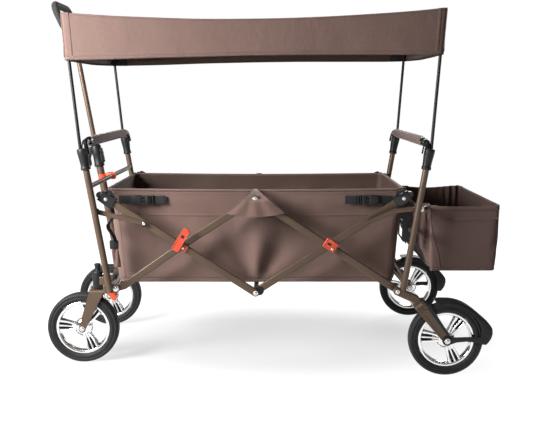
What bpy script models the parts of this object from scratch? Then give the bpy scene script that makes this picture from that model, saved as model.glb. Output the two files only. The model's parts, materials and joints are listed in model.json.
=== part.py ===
"""Folding wagon with a cloth basket, a canopy, a rear bag and a draw handle.

Metres, +Z up, +X towards the rear bag, near side at -Y. The wagon folds along X by two crossed
pairs of arms on each side, while the two end frames stay upright.
"""
import math

import bmesh
import bpy
from mathutils import Matrix, Vector

# Running gear
WHEEL_DIAMETER = 0.200
TYRE_WIDTH = 0.034
TYRE_HEIGHT = 0.024
RIM_LIP = 0.0065
RIM_WEB = 0.005
RIM_HUB_RADIUS = 0.0175
REAR_AXLE_SETBACK = 0.1328
FRONT_AXLE_SETBACK = 0.1100
CASTER_TRAIL = 0.0448
CASTER_INSET = 0.1035
AXLE_RADIUS = 0.005
AXLE_END = 0.004
FORK_GAP = 0.0028
FORK_THICKNESS = 0.0026
FORK_TOP_HALF = 0.0155
FORK_END_HALF = 0.0095
REAR_FORK_TOP_HALF = 0.0140
REAR_CROWN_GAP = 0.014
REAR_CROWN_HALF = 0.0132
CASTER_CROWN_GAP = 0.0095
HOUSING_RADIUS = 0.0145
HOUSING_GAP = 0.0035
HOUSING_RISE = 0.026
CAP_HEIGHT = 0.021
BRAKE_CLEARANCE = 0.0045
BRAKE_SKIN = 0.003
BRAKE_ARM = 0.003
BRAKE_FLARE = ((34, 0.004), (25, 0.010), (15, 0.014), (8, 0.0115))
SWIVEL_LEVER_WIDTH = 0.026
SWIVEL_LEVER_SHAPE = ((0.0, 0.0035), (0.012, 0.0040), (0.034, -0.010), (0.031, -0.026), (0.022, -0.026),
                      (0.011, -0.010), (0.0, -0.0035))

# Folding arms
ARM_HALF = 0.2355
ARM_FOOT = 0.216
OPEN_ANGLE = 33.0
PIVOT_ABOVE_WHEEL = 0.030
ARM_HEIGHT = 0.020
ARM_THICKNESS = 0.010
ARM_GAP = 0.003
ARM_POST_GAP = 0.010
ARM_FOOT_RUN = 0.022
ARM_FOOT_RISE = 0.0065
PIN_RADIUS = 0.004
PIN_HEAD = 0.003
CROSS_TUBE_RADIUS = 0.007
FRONT_LINK_FRACTION = 0.54
REAR_LINK_FRACTION = 0.567
LINK_THICKNESS = 0.004
LINK_HALF_HEIGHT = 0.0065
LINK_POST_GAP = 0.0055
HUB_LENGTH = 0.046
HUB_OVERHANG = 0.021
HUB_HALF_HEIGHT = 0.0165
HUB_MARGIN = 0.008
HUB_OFFSET = 0.0015
HUB_BOLT_RADIUS = 0.0062
HUB_KNOB_RADIUS = 0.0082

# End frames
POST_HALF_WIDTH = 0.2835
POST_RADIUS = 0.0085
POST_LEAN = 9.0
POST_FOOT_DROP = 0.004
FRONT_POST_SETBACK = 0.0095
REAR_POST_SETBACK = 0.0155
LUG_HALF_HEIGHT = 0.0115
LEG_RUN = 0.0485
LEG_DROP = 0.0208
LEG_HALF_HEIGHT = 0.010
LEG_THICKNESS = 0.020
LEG_INSET = 0.0015
LOW_TIE_RADIUS = 0.0075
LOW_TIE_RISE = 0.028
HIGH_TIE_RADIUS = 0.0065
HIGH_TIE_DROP = 0.061
SOCKET_BOTTOM = 0.5565
SOCKET_HEIGHT = 0.0535
SOCKET_RADIUS = 0.014
SOCKET_GRIP = 0.0355
WELL_END_GAP = 0.0025
HOOP_WELL_DEPTH = 0.012
HANDLE_HEIGHT = 0.627
HANDLE_RADIUS = 0.0075
HANDLE_SHIFT = 0.0095
HANDLE_ROOT = 0.020
HANDLE_ELBOW_RISE = 0.017
SLEEVE_RADIUS = 0.0125
SLEEVE_INSET = 0.0515
CROSSBAR_ABOVE_HUB = 0.035036157
CROSSBAR_DEPTH = 0.011
CROSSBAR_THICKNESS = 0.012
MEMBER_RISE = 0.006
MEMBER_SETBACK = 0.0110
MEMBER_DEPTH = 0.014
MEMBER_HEIGHT = 0.024

# Canopy
HOOP_RADIUS = 0.0042
HOOP_OFFSET = 0.0025
HOOP_BEND = 0.030
FRONT_HOOP_LEAN = 5.2
REAR_HOOP_LEAN = 3.8
FRONT_HOOP_TOP = 0.942
REAR_HOOP_TOP = 0.957
CANOPY_MARGIN = 0.0005
CANOPY_SIDE_MARGIN = 0.0075
CANOPY_DROP = 0.1135
CANOPY_SAG = 0.014
CLOTH = 0.0020

# Basket
RIM_ABOVE_PIVOT = 0.0216
FLOOR_GAP = 0.0091
BASKET_SIDE_GAP = 0.032
BASKET_FRONT_REACH = 0.0248
BASKET_REAR_REACH = 0.0253
BASKET_TAPER = 0.020
MAT_THICKNESS = 0.008
STRAP_DROP = 0.030
STRAP_WIDTH = 0.022
STRAP_LENGTH = 0.128
STRAP_THICKNESS = 0.0018
STRAP_INSET = 0.088
BUCKLE_SIZE = (0.058, 0.010, 0.027)
BUCKLE_SHIFT = 0.018
WALL_STEPS = ((0.0, 0.0), (0.12, 0.0), (0.5, 0.45), (0.86, 0.8), (0.97, 0.95), (1.0, 1.35))

# Rear bag
BAG_PIVOT_RISE = 0.0052
BAG_DEPTH = 0.173
BAG_SETBACK = 0.1008
BAG_LENGTH = 0.181
BAG_INSET = 0.0485
BAG_THROAT = 0.0415
BAG_THROAT_INSET = 0.027
BAG_TUBE_RADIUS = 0.0042
BAG_TUBE_INSET = 0.006
BAG_BEND = 0.022
BAG_STEPS = ((-0.003 / BAG_DEPTH, 0.0, 0.0), (0.1, 0.0, 0.0), (0.45, 0.001, 0.006), (0.72, 0.002, 0.014),
             (0.93, 0.004, 0.022), (1.0, 0.008, 0.028))

# Draw handle
DRAW_PIVOT_RISE = 0.010
DRAW_SETBACK = 0.0413
DRAW_LEAN = 9.3
LOWER_TUBE_RADIUS = 0.011
LOWER_TUBE_BORE = 0.0076
CLAMP_ABOVE_CROSSBAR = 0.0304
CLAMP_SEAT = 0.030
CLAMP_LENGTH = 0.062
CLAMP_RADIUS = 0.0150
CAM_RADIUS = 0.0035
UPPER_TUBE_RADIUS = 0.007
UPPER_TUBE_RISE = 0.365
TUBE_OVERLAP = 0.055
GRIP_RADIUS = 0.0122
GRIP_HALF_WIDTH = 0.088
GRIP_HEIGHT = 0.098
GRIP_THROAT = 0.010
GRIP_SHOULDER = 0.045
GRIP_BEND = 0.032
GRIP_COLLAR_RADIUS = 0.0125
GRIP_COLLAR_RISE = 0.022
CLIP_WALL = 0.0065
CLIP_DROP = 0.006
CLIP_HEIGHT = 0.016

# Locks
LOCK_THICKNESS = 0.008
FRONT_LOCK_ANGLE = 59.0
FRONT_LOCK_LENGTH = 0.050
LOCK_HALF_HEIGHT = 0.010
REAR_LOCK_HALF_LENGTH = 0.018
REAR_LOCK_HALF_HEIGHT = 0.0135

GAP = 0.0003
WHEEL_SIDES = 24
NEAR_AND_FAR = (("near", -1), ("far", 1))

# Places that follow from the sizes, with x counted from the middle pivots
WHEEL_RADIUS = WHEEL_DIAMETER / 2
PIVOT_HEIGHT = WHEEL_DIAMETER + PIVOT_ABOVE_WHEEL
OPEN = math.radians(OPEN_ANGLE)
LEAN = math.tan(math.radians(POST_LEAN))
HALF_SPAN = (ARM_HALF + ARM_FOOT) * math.cos(OPEN)
CROSS_X = ARM_HALF * math.cos(OPEN)
CROSS_Z = PIVOT_HEIGHT + ARM_FOOT * math.sin(OPEN)
LOW_Z = CROSS_Z - ARM_HALF * math.sin(OPEN)
TOP_Z = CROSS_Z + ARM_HALF * math.sin(OPEN)
HUB_X = 2 * CROSS_X
OUTER_ARM_Y = POST_HALF_WIDTH - POST_RADIUS - ARM_POST_GAP - ARM_THICKNESS / 2
INNER_ARM_Y = OUTER_ARM_Y - ARM_THICKNESS - ARM_GAP
LINK_Y = POST_HALF_WIDTH - POST_RADIUS - LINK_POST_GAP
LINK_Z = PIVOT_HEIGHT + ARM_FOOT * math.cos(math.radians(POST_LEAN))
FRONT_AXLE_X = -HALF_SPAN - FRONT_AXLE_SETBACK
REAR_AXLE_X = HALF_SPAN + REAR_AXLE_SETBACK
SWIVEL_X = FRONT_AXLE_X + CASTER_TRAIL
CASTER_HALF_TRACK = POST_HALF_WIDTH - CASTER_INSET
LEG_Y = POST_HALF_WIDTH - LEG_INSET
CROSS_MEMBER_Z = PIVOT_HEIGHT + MEMBER_RISE
CASTER_TOP = WHEEL_DIAMETER + CASTER_CROWN_GAP
HOUSING_BOTTOM = CASTER_TOP + HOUSING_GAP
HOUSING_TOP = CROSS_MEMBER_Z + HOUSING_RISE
CROSSBAR_HEIGHT = TOP_Z + CROSSBAR_ABOVE_HUB
POST_TOP = SOCKET_BOTTOM + SOCKET_GRIP
SLEEVE_HALF_LENGTH = POST_HALF_WIDTH - SLEEVE_INSET
RIM_HEIGHT = TOP_Z + RIM_ABOVE_PIVOT
BASKET_DEPTH = RIM_HEIGHT - LOW_Z - CROSS_TUBE_RADIUS - FLOOR_GAP
BASKET_HALF_WIDTH = INNER_ARM_Y - ARM_THICKNESS / 2 - BASKET_SIDE_GAP
BASKET_FRONT = HALF_SPAN + BASKET_FRONT_REACH
BASKET_REAR = HALF_SPAN + BASKET_REAR_REACH
BAG_REST = LINK_Z + BAG_PIVOT_RISE
BAG_START = HALF_SPAN + BAG_SETBACK
BAG_HALF_WIDTH = POST_HALF_WIDTH - BAG_INSET
BAG_THROAT_HALF_WIDTH = BAG_HALF_WIDTH - BAG_THROAT_INSET
DRAW_X = -HALF_SPAN - DRAW_SETBACK
DRAW_Z = PIVOT_HEIGHT + DRAW_PIVOT_RISE
DRAW_ANGLE = math.radians(DRAW_LEAN)
CLAMP_START = (CROSSBAR_HEIGHT - DRAW_Z) / math.cos(DRAW_ANGLE) + CLAMP_ABOVE_CROSSBAR
FOLD_X = (HALF_SPAN + FRONT_AXLE_SETBACK + WHEEL_RADIUS - BAG_START - BAG_LENGTH) / 2


def clear_scene():
    for item in list(bpy.data.objects):
        bpy.data.objects.remove(item, do_unlink=True)


def new_collection(name):
    collection = bpy.data.collections.new(name)
    bpy.context.scene.collection.children.link(collection)
    return collection


clear_scene()
WAGON = new_collection("folding_wagon")
CUTTERS = new_collection("cutters")


def finish(name, colour, roughness, metallic=0.0):
    material = bpy.data.materials.new(name)
    material.use_nodes = True
    shader = material.node_tree.nodes["Principled BSDF"]
    shader.inputs["Base Color"].default_value = (*colour, 1.0)
    shader.inputs["Roughness"].default_value = roughness
    shader.inputs["Metallic"].default_value = metallic
    material.diffuse_color = (*colour, 1.0)
    return material


BRONZE = finish("bronze_paint", (0.150, 0.105, 0.067), 0.38, 0.6)
BLACK = finish("black_plastic", (0.022, 0.022, 0.024), 0.45)
RUBBER = finish("tyre_rubber", (0.030, 0.030, 0.031), 0.75)
CHROME = finish("chrome", (0.80, 0.80, 0.81), 0.14, 1.0)
RED = finish("red_plastic", (0.87, 0.085, 0.030), 0.40)
FOAM = finish("black_foam", (0.030, 0.029, 0.028), 0.85)
FABRIC = finish("brown_fabric", (0.165, 0.092, 0.070), 0.90)
WEBBING = finish("black_webbing", (0.020, 0.020, 0.022), 0.80)


# Small geometry helpers

def spot(x, y, z):
    """A point of the wagon, with x counted from the middle pivots."""
    return Vector((FOLD_X + x, y, z))


def front_post_x(z):
    return -HALF_SPAN - FRONT_POST_SETBACK - (z - PIVOT_HEIGHT) * LEAN


def rear_post_x(z):
    return HALF_SPAN + REAR_POST_SETBACK + (z - PIVOT_HEIGHT) * LEAN


def arc(centre, radius, start, end, steps):
    """Points on an arc in a plane, with the angles in degrees."""
    points = []
    for step in range(steps + 1):
        angle = math.radians(start + (end - start) * step / steps)
        points.append((centre[0] + radius * math.cos(angle), centre[1] + radius * math.sin(angle)))
    return points


def rounded_path(points, bend, steps=4):
    """The points of a bent tube, with each corner turned on a bend."""
    points = [Vector(point) for point in points]
    path = [points[0]]
    for before, corner, after in zip(points, points[1:], points[2:]):
        way_in = (before - corner).normalized()
        way_out = (after - corner).normalized()
        opening = way_in.angle(way_out)
        if opening > math.radians(179):
            path.append(corner)
            continue
        reach = min(bend / math.tan(opening / 2), 0.49 * (before - corner).length,
                    0.49 * (after - corner).length)
        radius = reach * math.tan(opening / 2)
        centre = corner + (way_in + way_out).normalized() * radius / math.sin(opening / 2)
        first = (corner + way_in * reach - centre).normalized()
        last = (corner + way_out * reach - centre).normalized()
        for step in range(steps + 1):
            path.append(centre + first.slerp(last, step / steps) * radius)
    path.append(points[-1])
    return path


def ribbon(points, halves, steps=4):
    """The outline of a bar with round ends that follows the points in a plane."""
    points = [Vector(point) for point in points]
    if not isinstance(halves, (list, tuple)):
        halves = [halves] * len(points)
    headings = [(b - a).normalized() for a, b in zip(points, points[1:])]
    left, right = [], []
    for index, point in enumerate(points):
        if 0 < index < len(points) - 1:
            ahead = (headings[index - 1] + headings[index]).normalized()
            stretch = 1 / max(0.5, ahead.dot(headings[index]))
            side = Vector((-ahead.y, ahead.x)) * halves[index] * stretch
            left.append(point + side)
            right.append(point - side)
    first, last = headings[0], headings[-1]
    start_angle = math.degrees(math.atan2(first.y, first.x))
    end_angle = math.degrees(math.atan2(last.y, last.x))
    outline = [Vector(p) for p in arc(points[-1], halves[-1], end_angle - 90, end_angle + 90, steps)]
    outline += left[::-1]
    outline += [Vector(p) for p in arc(points[0], halves[0], start_angle + 90, start_angle + 270, steps)]
    outline += right
    return outline


def add_object(name, data, material, collection=None):
    item = bpy.data.objects.new(name, data)
    (collection or WAGON).objects.link(item)
    if material is not None:
        data.materials.append(material)
    return item


def as_mesh(curve_object, smooth=40):
    """The same shape as a welded mesh, which can be cut and joined."""
    bpy.context.view_layer.update()
    evaluated = curve_object.evaluated_get(bpy.context.evaluated_depsgraph_get())
    mesh = bpy.data.meshes.new_from_object(evaluated)
    mesh.transform(curve_object.matrix_world)
    shape = bmesh.new()
    shape.from_mesh(mesh)
    bmesh.ops.remove_doubles(shape, verts=shape.verts, dist=0.00002)
    bmesh.ops.recalc_face_normals(shape, faces=shape.faces)
    shape.to_mesh(mesh)
    shape.free()
    name = curve_object.name
    material = curve_object.data.materials[0] if curve_object.data.materials else None
    collection = curve_object.users_collection[0]
    bpy.data.objects.remove(curve_object, do_unlink=True)
    mesh.materials.clear()
    item = add_object(name, mesh, material, collection)
    mesh.shade_smooth()
    mesh.set_sharp_from_angle(angle=math.radians(smooth))
    return item


def tube(name, points, radius, material, sides=2, closed=False, collection=None):
    """A round tube or rod along the points, with closed ends."""
    curve = bpy.data.curves.new(name, "CURVE")
    curve.dimensions = "3D"
    curve.bevel_depth = radius
    curve.bevel_resolution = sides
    curve.use_fill_caps = not closed
    curve.render_resolution_u = 0
    spline = curve.splines.new("POLY")
    spline.points.add(len(points) - 1)
    for slot, point in zip(spline.points, points):
        slot.co = (*point, 1.0)
    spline.use_cyclic_u = closed
    item = add_object(name, curve, material, collection)
    return as_mesh(item)


def plate(name, outline, y, thickness, material, collection=None):
    """A flat plate that stands along X and Z, with its middle at y."""
    curve = bpy.data.curves.new(name, "CURVE")
    curve.dimensions = "2D"
    curve.fill_mode = "BOTH"
    curve.extrude = thickness / 2
    curve.render_resolution_u = 0
    spline = curve.splines.new("POLY")
    spline.points.add(len(outline) - 1)
    for slot, point in zip(spline.points, outline):
        slot.co = (FOLD_X + point[0], point[1], 0.0, 1.0)
    spline.use_cyclic_u = True
    item = add_object(name, curve, material, collection)
    item.rotation_euler = (math.pi / 2, 0, 0)
    item.location = (0, y, 0)
    return as_mesh(item)


def flat_plate(name, outline, z, thickness, material, collection=None):
    """A flat plate that lies along X and Y, with its middle at height z."""
    curve = bpy.data.curves.new(name, "CURVE")
    curve.dimensions = "2D"
    curve.fill_mode = "BOTH"
    curve.extrude = thickness / 2
    curve.render_resolution_u = 0
    spline = curve.splines.new("POLY")
    spline.points.add(len(outline) - 1)
    for slot, point in zip(spline.points, outline):
        slot.co = (FOLD_X + point[0], point[1], 0.0, 1.0)
    spline.use_cyclic_u = True
    item = add_object(name, curve, material, collection)
    item.location = (0, 0, z)
    return as_mesh(item)


def block(name, centre, size, material, turn=(0, 0, 0), collection=None, bevel=0.0):
    """A box with its size applied, so that its edges can be rounded evenly."""
    shape = bmesh.new()
    bmesh.ops.create_cube(shape, size=1.0, matrix=Matrix.Diagonal((*size, 1.0)))
    mesh = bpy.data.meshes.new(name)
    shape.to_mesh(mesh)
    shape.free()
    item = add_object(name, mesh, material, collection)
    item.location = centre
    item.rotation_euler = turn
    if bevel:
        soften(item, bevel)
    return item


def rod(name, start, end, radius, material, sides=16, collection=None, end_radius=None):
    """A plain or tapered cylinder from one point to another."""
    start, end = Vector(start), Vector(end)
    shape = bmesh.new()
    bmesh.ops.create_cone(shape, cap_ends=True, segments=sides, radius1=radius,
                          radius2=radius if end_radius is None else end_radius,
                          depth=(end - start).length)
    mesh = bpy.data.meshes.new(name)
    shape.to_mesh(mesh)
    shape.free()
    item = add_object(name, mesh, material, collection)
    item.location = (start + end) / 2
    item.rotation_euler = (end - start).to_track_quat("Z", "Y").to_euler()
    mesh.shade_smooth()
    mesh.set_sharp_from_angle(angle=math.radians(40))
    return item


def turned(name, profile, centre, material, steps=32, along_y=True, collection=None, closed=True):
    """A turned piece: the profile holds (radius, place along the axis) and runs down its outside."""
    shape = bmesh.new()
    ring = [shape.verts.new((radius, 0.0, height)) for radius, height in profile]
    for a, b in zip(ring, ring[1:]):
        shape.edges.new((a, b))
    if closed:
        shape.edges.new((ring[-1], ring[0]))
    mesh = bpy.data.meshes.new(name)
    shape.to_mesh(mesh)
    shape.free()
    item = add_object(name, mesh, material, collection)
    item.location = centre
    if along_y:
        item.rotation_euler = (math.pi / 2, 0, 0)
    screw = item.modifiers.new("turn", "SCREW")
    screw.steps = steps
    screw.render_steps = steps
    screw.use_merge_vertices = True
    screw.merge_threshold = 0.00002
    screw.use_smooth_shade = True
    return item


def soften(item, width, segments=2, angle=35):
    bevel = item.modifiers.new("rounded edges", "BEVEL")
    bevel.width = width
    bevel.segments = segments
    bevel.limit_method = "ANGLE"
    bevel.angle_limit = math.radians(angle)
    return item


def boolean(item, tools, operation):
    """Joins tools to a piece or cuts them from it, and keeps them among the cutters."""
    for tool in tools:
        for collection in list(tool.users_collection):
            collection.objects.unlink(tool)
        CUTTERS.objects.link(tool)
        tool.hide_render = True
        tool.display_type = "WIRE"
        change = item.modifiers.new(operation.lower(), "BOOLEAN")
        change.operation = operation
        change.object = tool
    return item


def join(item, *tools):
    return boolean(item, tools, "UNION")


def cut(item, *tools):
    return boolean(item, tools, "DIFFERENCE")


def turn_on(item, pivot):
    """Moves a piece's origin to the axis that it turns on, and leaves its shape where it is."""
    pivot = Vector(pivot)
    item.data.transform(Matrix.Translation(item.location - pivot))
    item.location = pivot
    return item


def pin(name, x, z, y_from, y_to, radius=PIN_RADIUS, sides=10):
    """A pin along Y, to be joined to a piece or cut from it."""
    low, high = sorted((y_from, y_to))
    return rod(name, spot(x, low, z), spot(x, high, z), radius, None, sides, CUTTERS)


# The folding arms

def arm(name, points, y, holes, pins, side):
    """One arm: a flat bar with round ends, its pivot holes, and its pins with their heads."""
    bar = plate(name, ribbon(points, ARM_HEIGHT / 2), side * y, ARM_THICKNESS, BRONZE)
    soften(bar, 0.0035, 1)
    for index, (x, z) in enumerate(holes):
        cut(bar, pin(f"{name}_hole_{index}", x, z, side * (y - ARM_THICKNESS), side * (y + ARM_THICKNESS),
                     PIN_RADIUS + GAP))
    for index, (x, z, reach) in enumerate(pins):
        join(bar, pin(f"{name}_pin_{index}", x, z, side * y, side * reach),
             pin(f"{name}_head_{index}", x, z, side * reach, side * (reach + PIN_HEAD), PIN_RADIUS * 1.8))
    return bar


def build_arms():
    outer_face = OUTER_ARM_Y + ARM_THICKNESS / 2 + GAP
    leg_face = LEG_Y + LEG_THICKNESS / 2 + GAP
    foot_bend = (-HALF_SPAN + ARM_FOOT_RUN, PIVOT_HEIGHT + ARM_FOOT_RISE)
    for label, side in NEAR_AND_FAR:
        # The arm from the front hub down to the bottom middle pivot
        a = arm(f"front_upper_arm_{label}", [(-HUB_X, TOP_Z), (0, LOW_Z)], OUTER_ARM_Y,
                [(-CROSS_X, CROSS_Z), (0, LOW_Z)], [], side)
        turn_on(a, spot(-CROSS_X, 0, CROSS_Z))
        # The arm from the foot of the front frame up to the top middle pivot
        b = arm(f"front_lower_arm_{label}",
                [(-HALF_SPAN, PIVOT_HEIGHT), foot_bend, (-CROSS_X, CROSS_Z), (0, TOP_Z)], INNER_ARM_Y,
                [(-HALF_SPAN, PIVOT_HEIGHT)],
                [(-CROSS_X, CROSS_Z, outer_face), (0, TOP_Z, outer_face)], side)
        turn_on(b, spot(0, 0, TOP_Z))
        # The arm from the foot of the rear frame up to the top middle pivot
        c = arm(f"rear_lower_arm_{label}",
                [(HALF_SPAN, PIVOT_HEIGHT), (CROSS_X, CROSS_Z), (0, TOP_Z)], OUTER_ARM_Y,
                [(CROSS_X, CROSS_Z), (0, TOP_Z)],
                [(HALF_SPAN, PIVOT_HEIGHT, leg_face)], side)
        turn_on(c, spot(HALF_SPAN, 0, PIVOT_HEIGHT))
        # The arm from the rear hub down to the bottom middle pivot
        d = arm(f"rear_upper_arm_{label}", [(HUB_X, TOP_Z), (0, LOW_Z)], INNER_ARM_Y,
                [], [(CROSS_X, CROSS_Z, outer_face), (0, LOW_Z, outer_face)], side)
        turn_on(d, spot(CROSS_X, 0, CROSS_Z))
    reach = INNER_ARM_Y - ARM_THICKNESS / 2 - GAP
    rod("lower_cross_tube", spot(0, -reach, LOW_Z), spot(0, reach, LOW_Z), CROSS_TUBE_RADIUS, BRONZE, 16)


def build_hubs():
    """The moulded corner blocks on the upper ends of the arms, which carry the basket's corners."""
    for label, side in NEAR_AND_FAR:
        for end, sign, arm_y in (("front", -1, OUTER_ARM_Y), ("rear", 1, INNER_ARM_Y)):
            inward = Vector((-sign * math.cos(OPEN), -math.sin(OPEN)))
            outline = []
            across = Vector((-inward.y, inward.x)) * HUB_HALF_HEIGHT
            tip = Vector((sign * HUB_X, TOP_Z)) - inward * HUB_OVERHANG
            root = tip + inward * HUB_LENGTH
            for corner, lift in ((tip, 0.8), (root, 1.0)):
                outline.append(corner + across * lift)
            for corner, lift in ((root, 1.0), (tip, 0.8)):
                outline.append(corner - across * lift)
            width = ARM_THICKNESS + HUB_MARGIN
            middle_y = side * (arm_y - HUB_OFFSET)
            hub = plate(f"{end}_hub_{label}", outline, middle_y, width, BLACK)
            soften(hub, HUB_MARGIN / 2, 2)
            join(hub, pin(f"{end}_hub_knob_{label}", *tip, middle_y - width * 0.4, middle_y + width * 0.4,
                          HUB_KNOB_RADIUS, 16))
            bolt = Vector((sign * HUB_X, TOP_Z))
            slot = ribbon([tuple(bolt), tuple(bolt + inward * 2 * HUB_LENGTH)], ARM_HEIGHT / 2 + GAP)
            cut(hub, plate(f"{end}_hub_slot_{label}", slot, side * arm_y, ARM_THICKNESS + 2 * GAP,
                           None, CUTTERS))
            face = middle_y + side * width / 2
            join(hub, pin(f"{end}_hub_bolt_{label}", *bolt, face - side * PIN_HEAD / 3, face + side * PIN_HEAD,
                          HUB_BOLT_RADIUS, 6))


def build_links():
    """The flat links between the front posts and the arms, which keep the front frame upright."""
    angle = math.pi - OPEN
    reach = FRONT_LINK_FRACTION * ARM_FOOT
    far = (-CROSS_X + reach * math.cos(angle), CROSS_Z + reach * math.sin(angle))
    near = (front_post_x(LINK_Z), LINK_Z)
    for label, side in NEAR_AND_FAR:
        link = plate(f"front_link_{label}", ribbon([near, far], LINK_HALF_HEIGHT), side * LINK_Y,
                     LINK_THICKNESS, BRONZE)
        cut(link, pin(f"front_link_hole_{label}", *near, side * (LINK_Y - LINK_THICKNESS),
                      side * (LINK_Y + LINK_THICKNESS), PIN_RADIUS + GAP))
        turn_on(link, spot(near[0], 0, near[1]))


# The rear end frame

def build_rear_frame():
    foot = Vector((HALF_SPAN, PIVOT_HEIGHT))
    knee = foot + Vector((LEG_RUN, -LEG_DROP))
    axle = Vector((REAR_AXLE_X, WHEEL_RADIUS))
    run = (axle - knee).normalized()
    crown = axle - run * (WHEEL_RADIUS + REAR_CROWN_GAP)
    low_z = PIVOT_HEIGHT - POST_FOOT_DROP
    posts, others = [], []
    for label, side in NEAR_AND_FAR:
        y = side * POST_HALF_WIDTH
        posts.append(tube(f"rear_post_{label}", [spot(rear_post_x(POST_TOP), y, POST_TOP),
                                                 spot(rear_post_x(low_z), y, low_z)],
                          POST_RADIUS, BRONZE, 2))
        # The flat leg that carries the arm's foot, with the spigot of the fork at its lower end
        leg = plate(f"rear_leg_{label}", ribbon([foot, knee], LEG_HALF_HEIGHT), side * LEG_Y, LEG_THICKNESS,
                    BRONZE)
        cut(leg, pin(f"rear_leg_hole_{label}", *foot, side * (LEG_Y - LEG_THICKNESS),
                     side * (LEG_Y + LEG_THICKNESS), PIN_RADIUS + GAP))
        others += [leg, tube(f"rear_spigot_{label}", [spot(knee.x, y, knee.y), spot(crown.x, y, crown.y)],
                             POST_RADIUS, BRONZE, 2)]
    for name, z, radius in (("low", PIVOT_HEIGHT + LOW_TIE_RISE, LOW_TIE_RADIUS),
                            ("high", BAG_REST - HIGH_TIE_DROP, HIGH_TIE_RADIUS)):
        x = rear_post_x(z)
        others.append(rod(f"rear_{name}_tie", spot(x, -POST_HALF_WIDTH, z), spot(x, POST_HALF_WIDTH, z),
                          radius, BRONZE, 12))
    frame = posts[0]
    frame.name = "rear_frame"
    join(frame, posts[1], *others[::-1])

    inside = TYRE_WIDTH / 2 + FORK_GAP
    blade_y = inside + FORK_THICKNESS / 2
    outline = ribbon([crown, axle], [REAR_FORK_TOP_HALF, FORK_END_HALF], 5)
    bridge_outline = ribbon([crown, crown + run * FORK_END_HALF / 2], [REAR_CROWN_HALF, POST_RADIUS], 4)
    mouth = crown - run * 3 * REAR_FORK_TOP_HALF
    floor = crown + run * GAP
    for label, side in NEAR_AND_FAR:
        y = side * POST_HALF_WIDTH
        fork = plate(f"rear_fork_{label}", outline, y + blade_y, FORK_THICKNESS, BRONZE)
        other = plate(f"rear_fork_inner_{label}", outline, y - blade_y, FORK_THICKNESS, BRONZE)
        bridge = plate(f"rear_fork_crown_{label}", bridge_outline, y, 2 * inside + FORK_THICKNESS, BRONZE)
        axle_rod = pin(f"rear_axle_{label}", *axle, y - side * (blade_y + AXLE_END),
                       y + side * (blade_y + BRAKE_ARM + AXLE_END + PIN_HEAD), AXLE_RADIUS)
        join(fork, bridge, other, axle_rod)
        cut(fork, rod(f"rear_fork_seat_{label}", spot(mouth.x, y, mouth.y), spot(floor.x, y, floor.y),
                      POST_RADIUS + GAP, None, 16, CUTTERS))
    return axle


# Wheels

def build_wheel(label, centre, side):
    """A solid tyre on a bright rim with three twin spokes."""
    half = TYRE_WIDTH / 2
    outer = WHEEL_RADIUS
    rim_r = WHEEL_RADIUS - TYRE_HEIGHT
    tread = [(outer, half * 0.45), (outer, -half * 0.45), (outer - 0.007, -half),
             (rim_r + 0.004, -half * 0.86), (rim_r, -half * 0.70), (rim_r, half * 0.70),
             (rim_r + 0.004, half * 0.86), (outer - 0.007, half)]
    turned(f"{label}_tyre", tread, centre, RUBBER, WHEEL_SIDES)

    seat = rim_r - GAP
    face = half * 0.62
    lip = RIM_LIP
    web = RIM_WEB
    hub_r = RIM_HUB_RADIUS
    bore = AXLE_RADIUS + 2 * GAP
    profile = [(seat, face), (seat, -face), (seat - lip, -face), (seat - lip - 0.002, 0.0 + face * 0.1),
               (hub_r, face * 0.1), (hub_r, -half * 0.85), (bore, -half * 0.85), (bore, half * 0.85),
               (hub_r, half * 0.85), (hub_r + 0.002, face * 0.1 + web), (seat - lip - 0.002, face * 0.1 + web),
               (seat - lip, face)]
    if side > 0:
        profile = [(radius, -height) for radius, height in profile[::-1]]
    rim = turned(f"{label}_rim", profile, centre, CHROME, WHEEL_SIDES)
    inner_edge = hub_r + 0.006
    outer_edge = seat - lip - 0.0045
    cutters = []
    for number in range(3):
        axis = 54 + 120 * number
        window = arc((0, 0), outer_edge, axis + 22, axis + 98, 4)
        window += arc((0, 0), inner_edge, axis + 84, axis + 36, 2)
        slot = [(inner_edge + 0.006) * Vector((math.cos(math.radians(axis)), math.sin(math.radians(axis))))]
        slot += [Vector(p) for p in arc((0, 0), outer_edge, axis - 6.5, axis + 6.5, 1)]
        for kind, outline in (("window", window), ("slot", slot)):
            moved = [(centre.x - FOLD_X + p[0], centre.z + p[1]) for p in outline]
            cutters.append(plate(f"{label}_{kind}_{number}", moved, centre.y, TYRE_WIDTH * 1.5, None, CUTTERS))
    cut(rim, *cutters)


def build_wheels():
    for label, side in NEAR_AND_FAR:
        build_wheel(f"rear_{label}", spot(REAR_AXLE_X, side * POST_HALF_WIDTH, WHEEL_RADIUS), side)
        build_wheel(f"front_{label}", spot(FRONT_AXLE_X, side * CASTER_HALF_TRACK, WHEEL_RADIUS), side)


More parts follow.
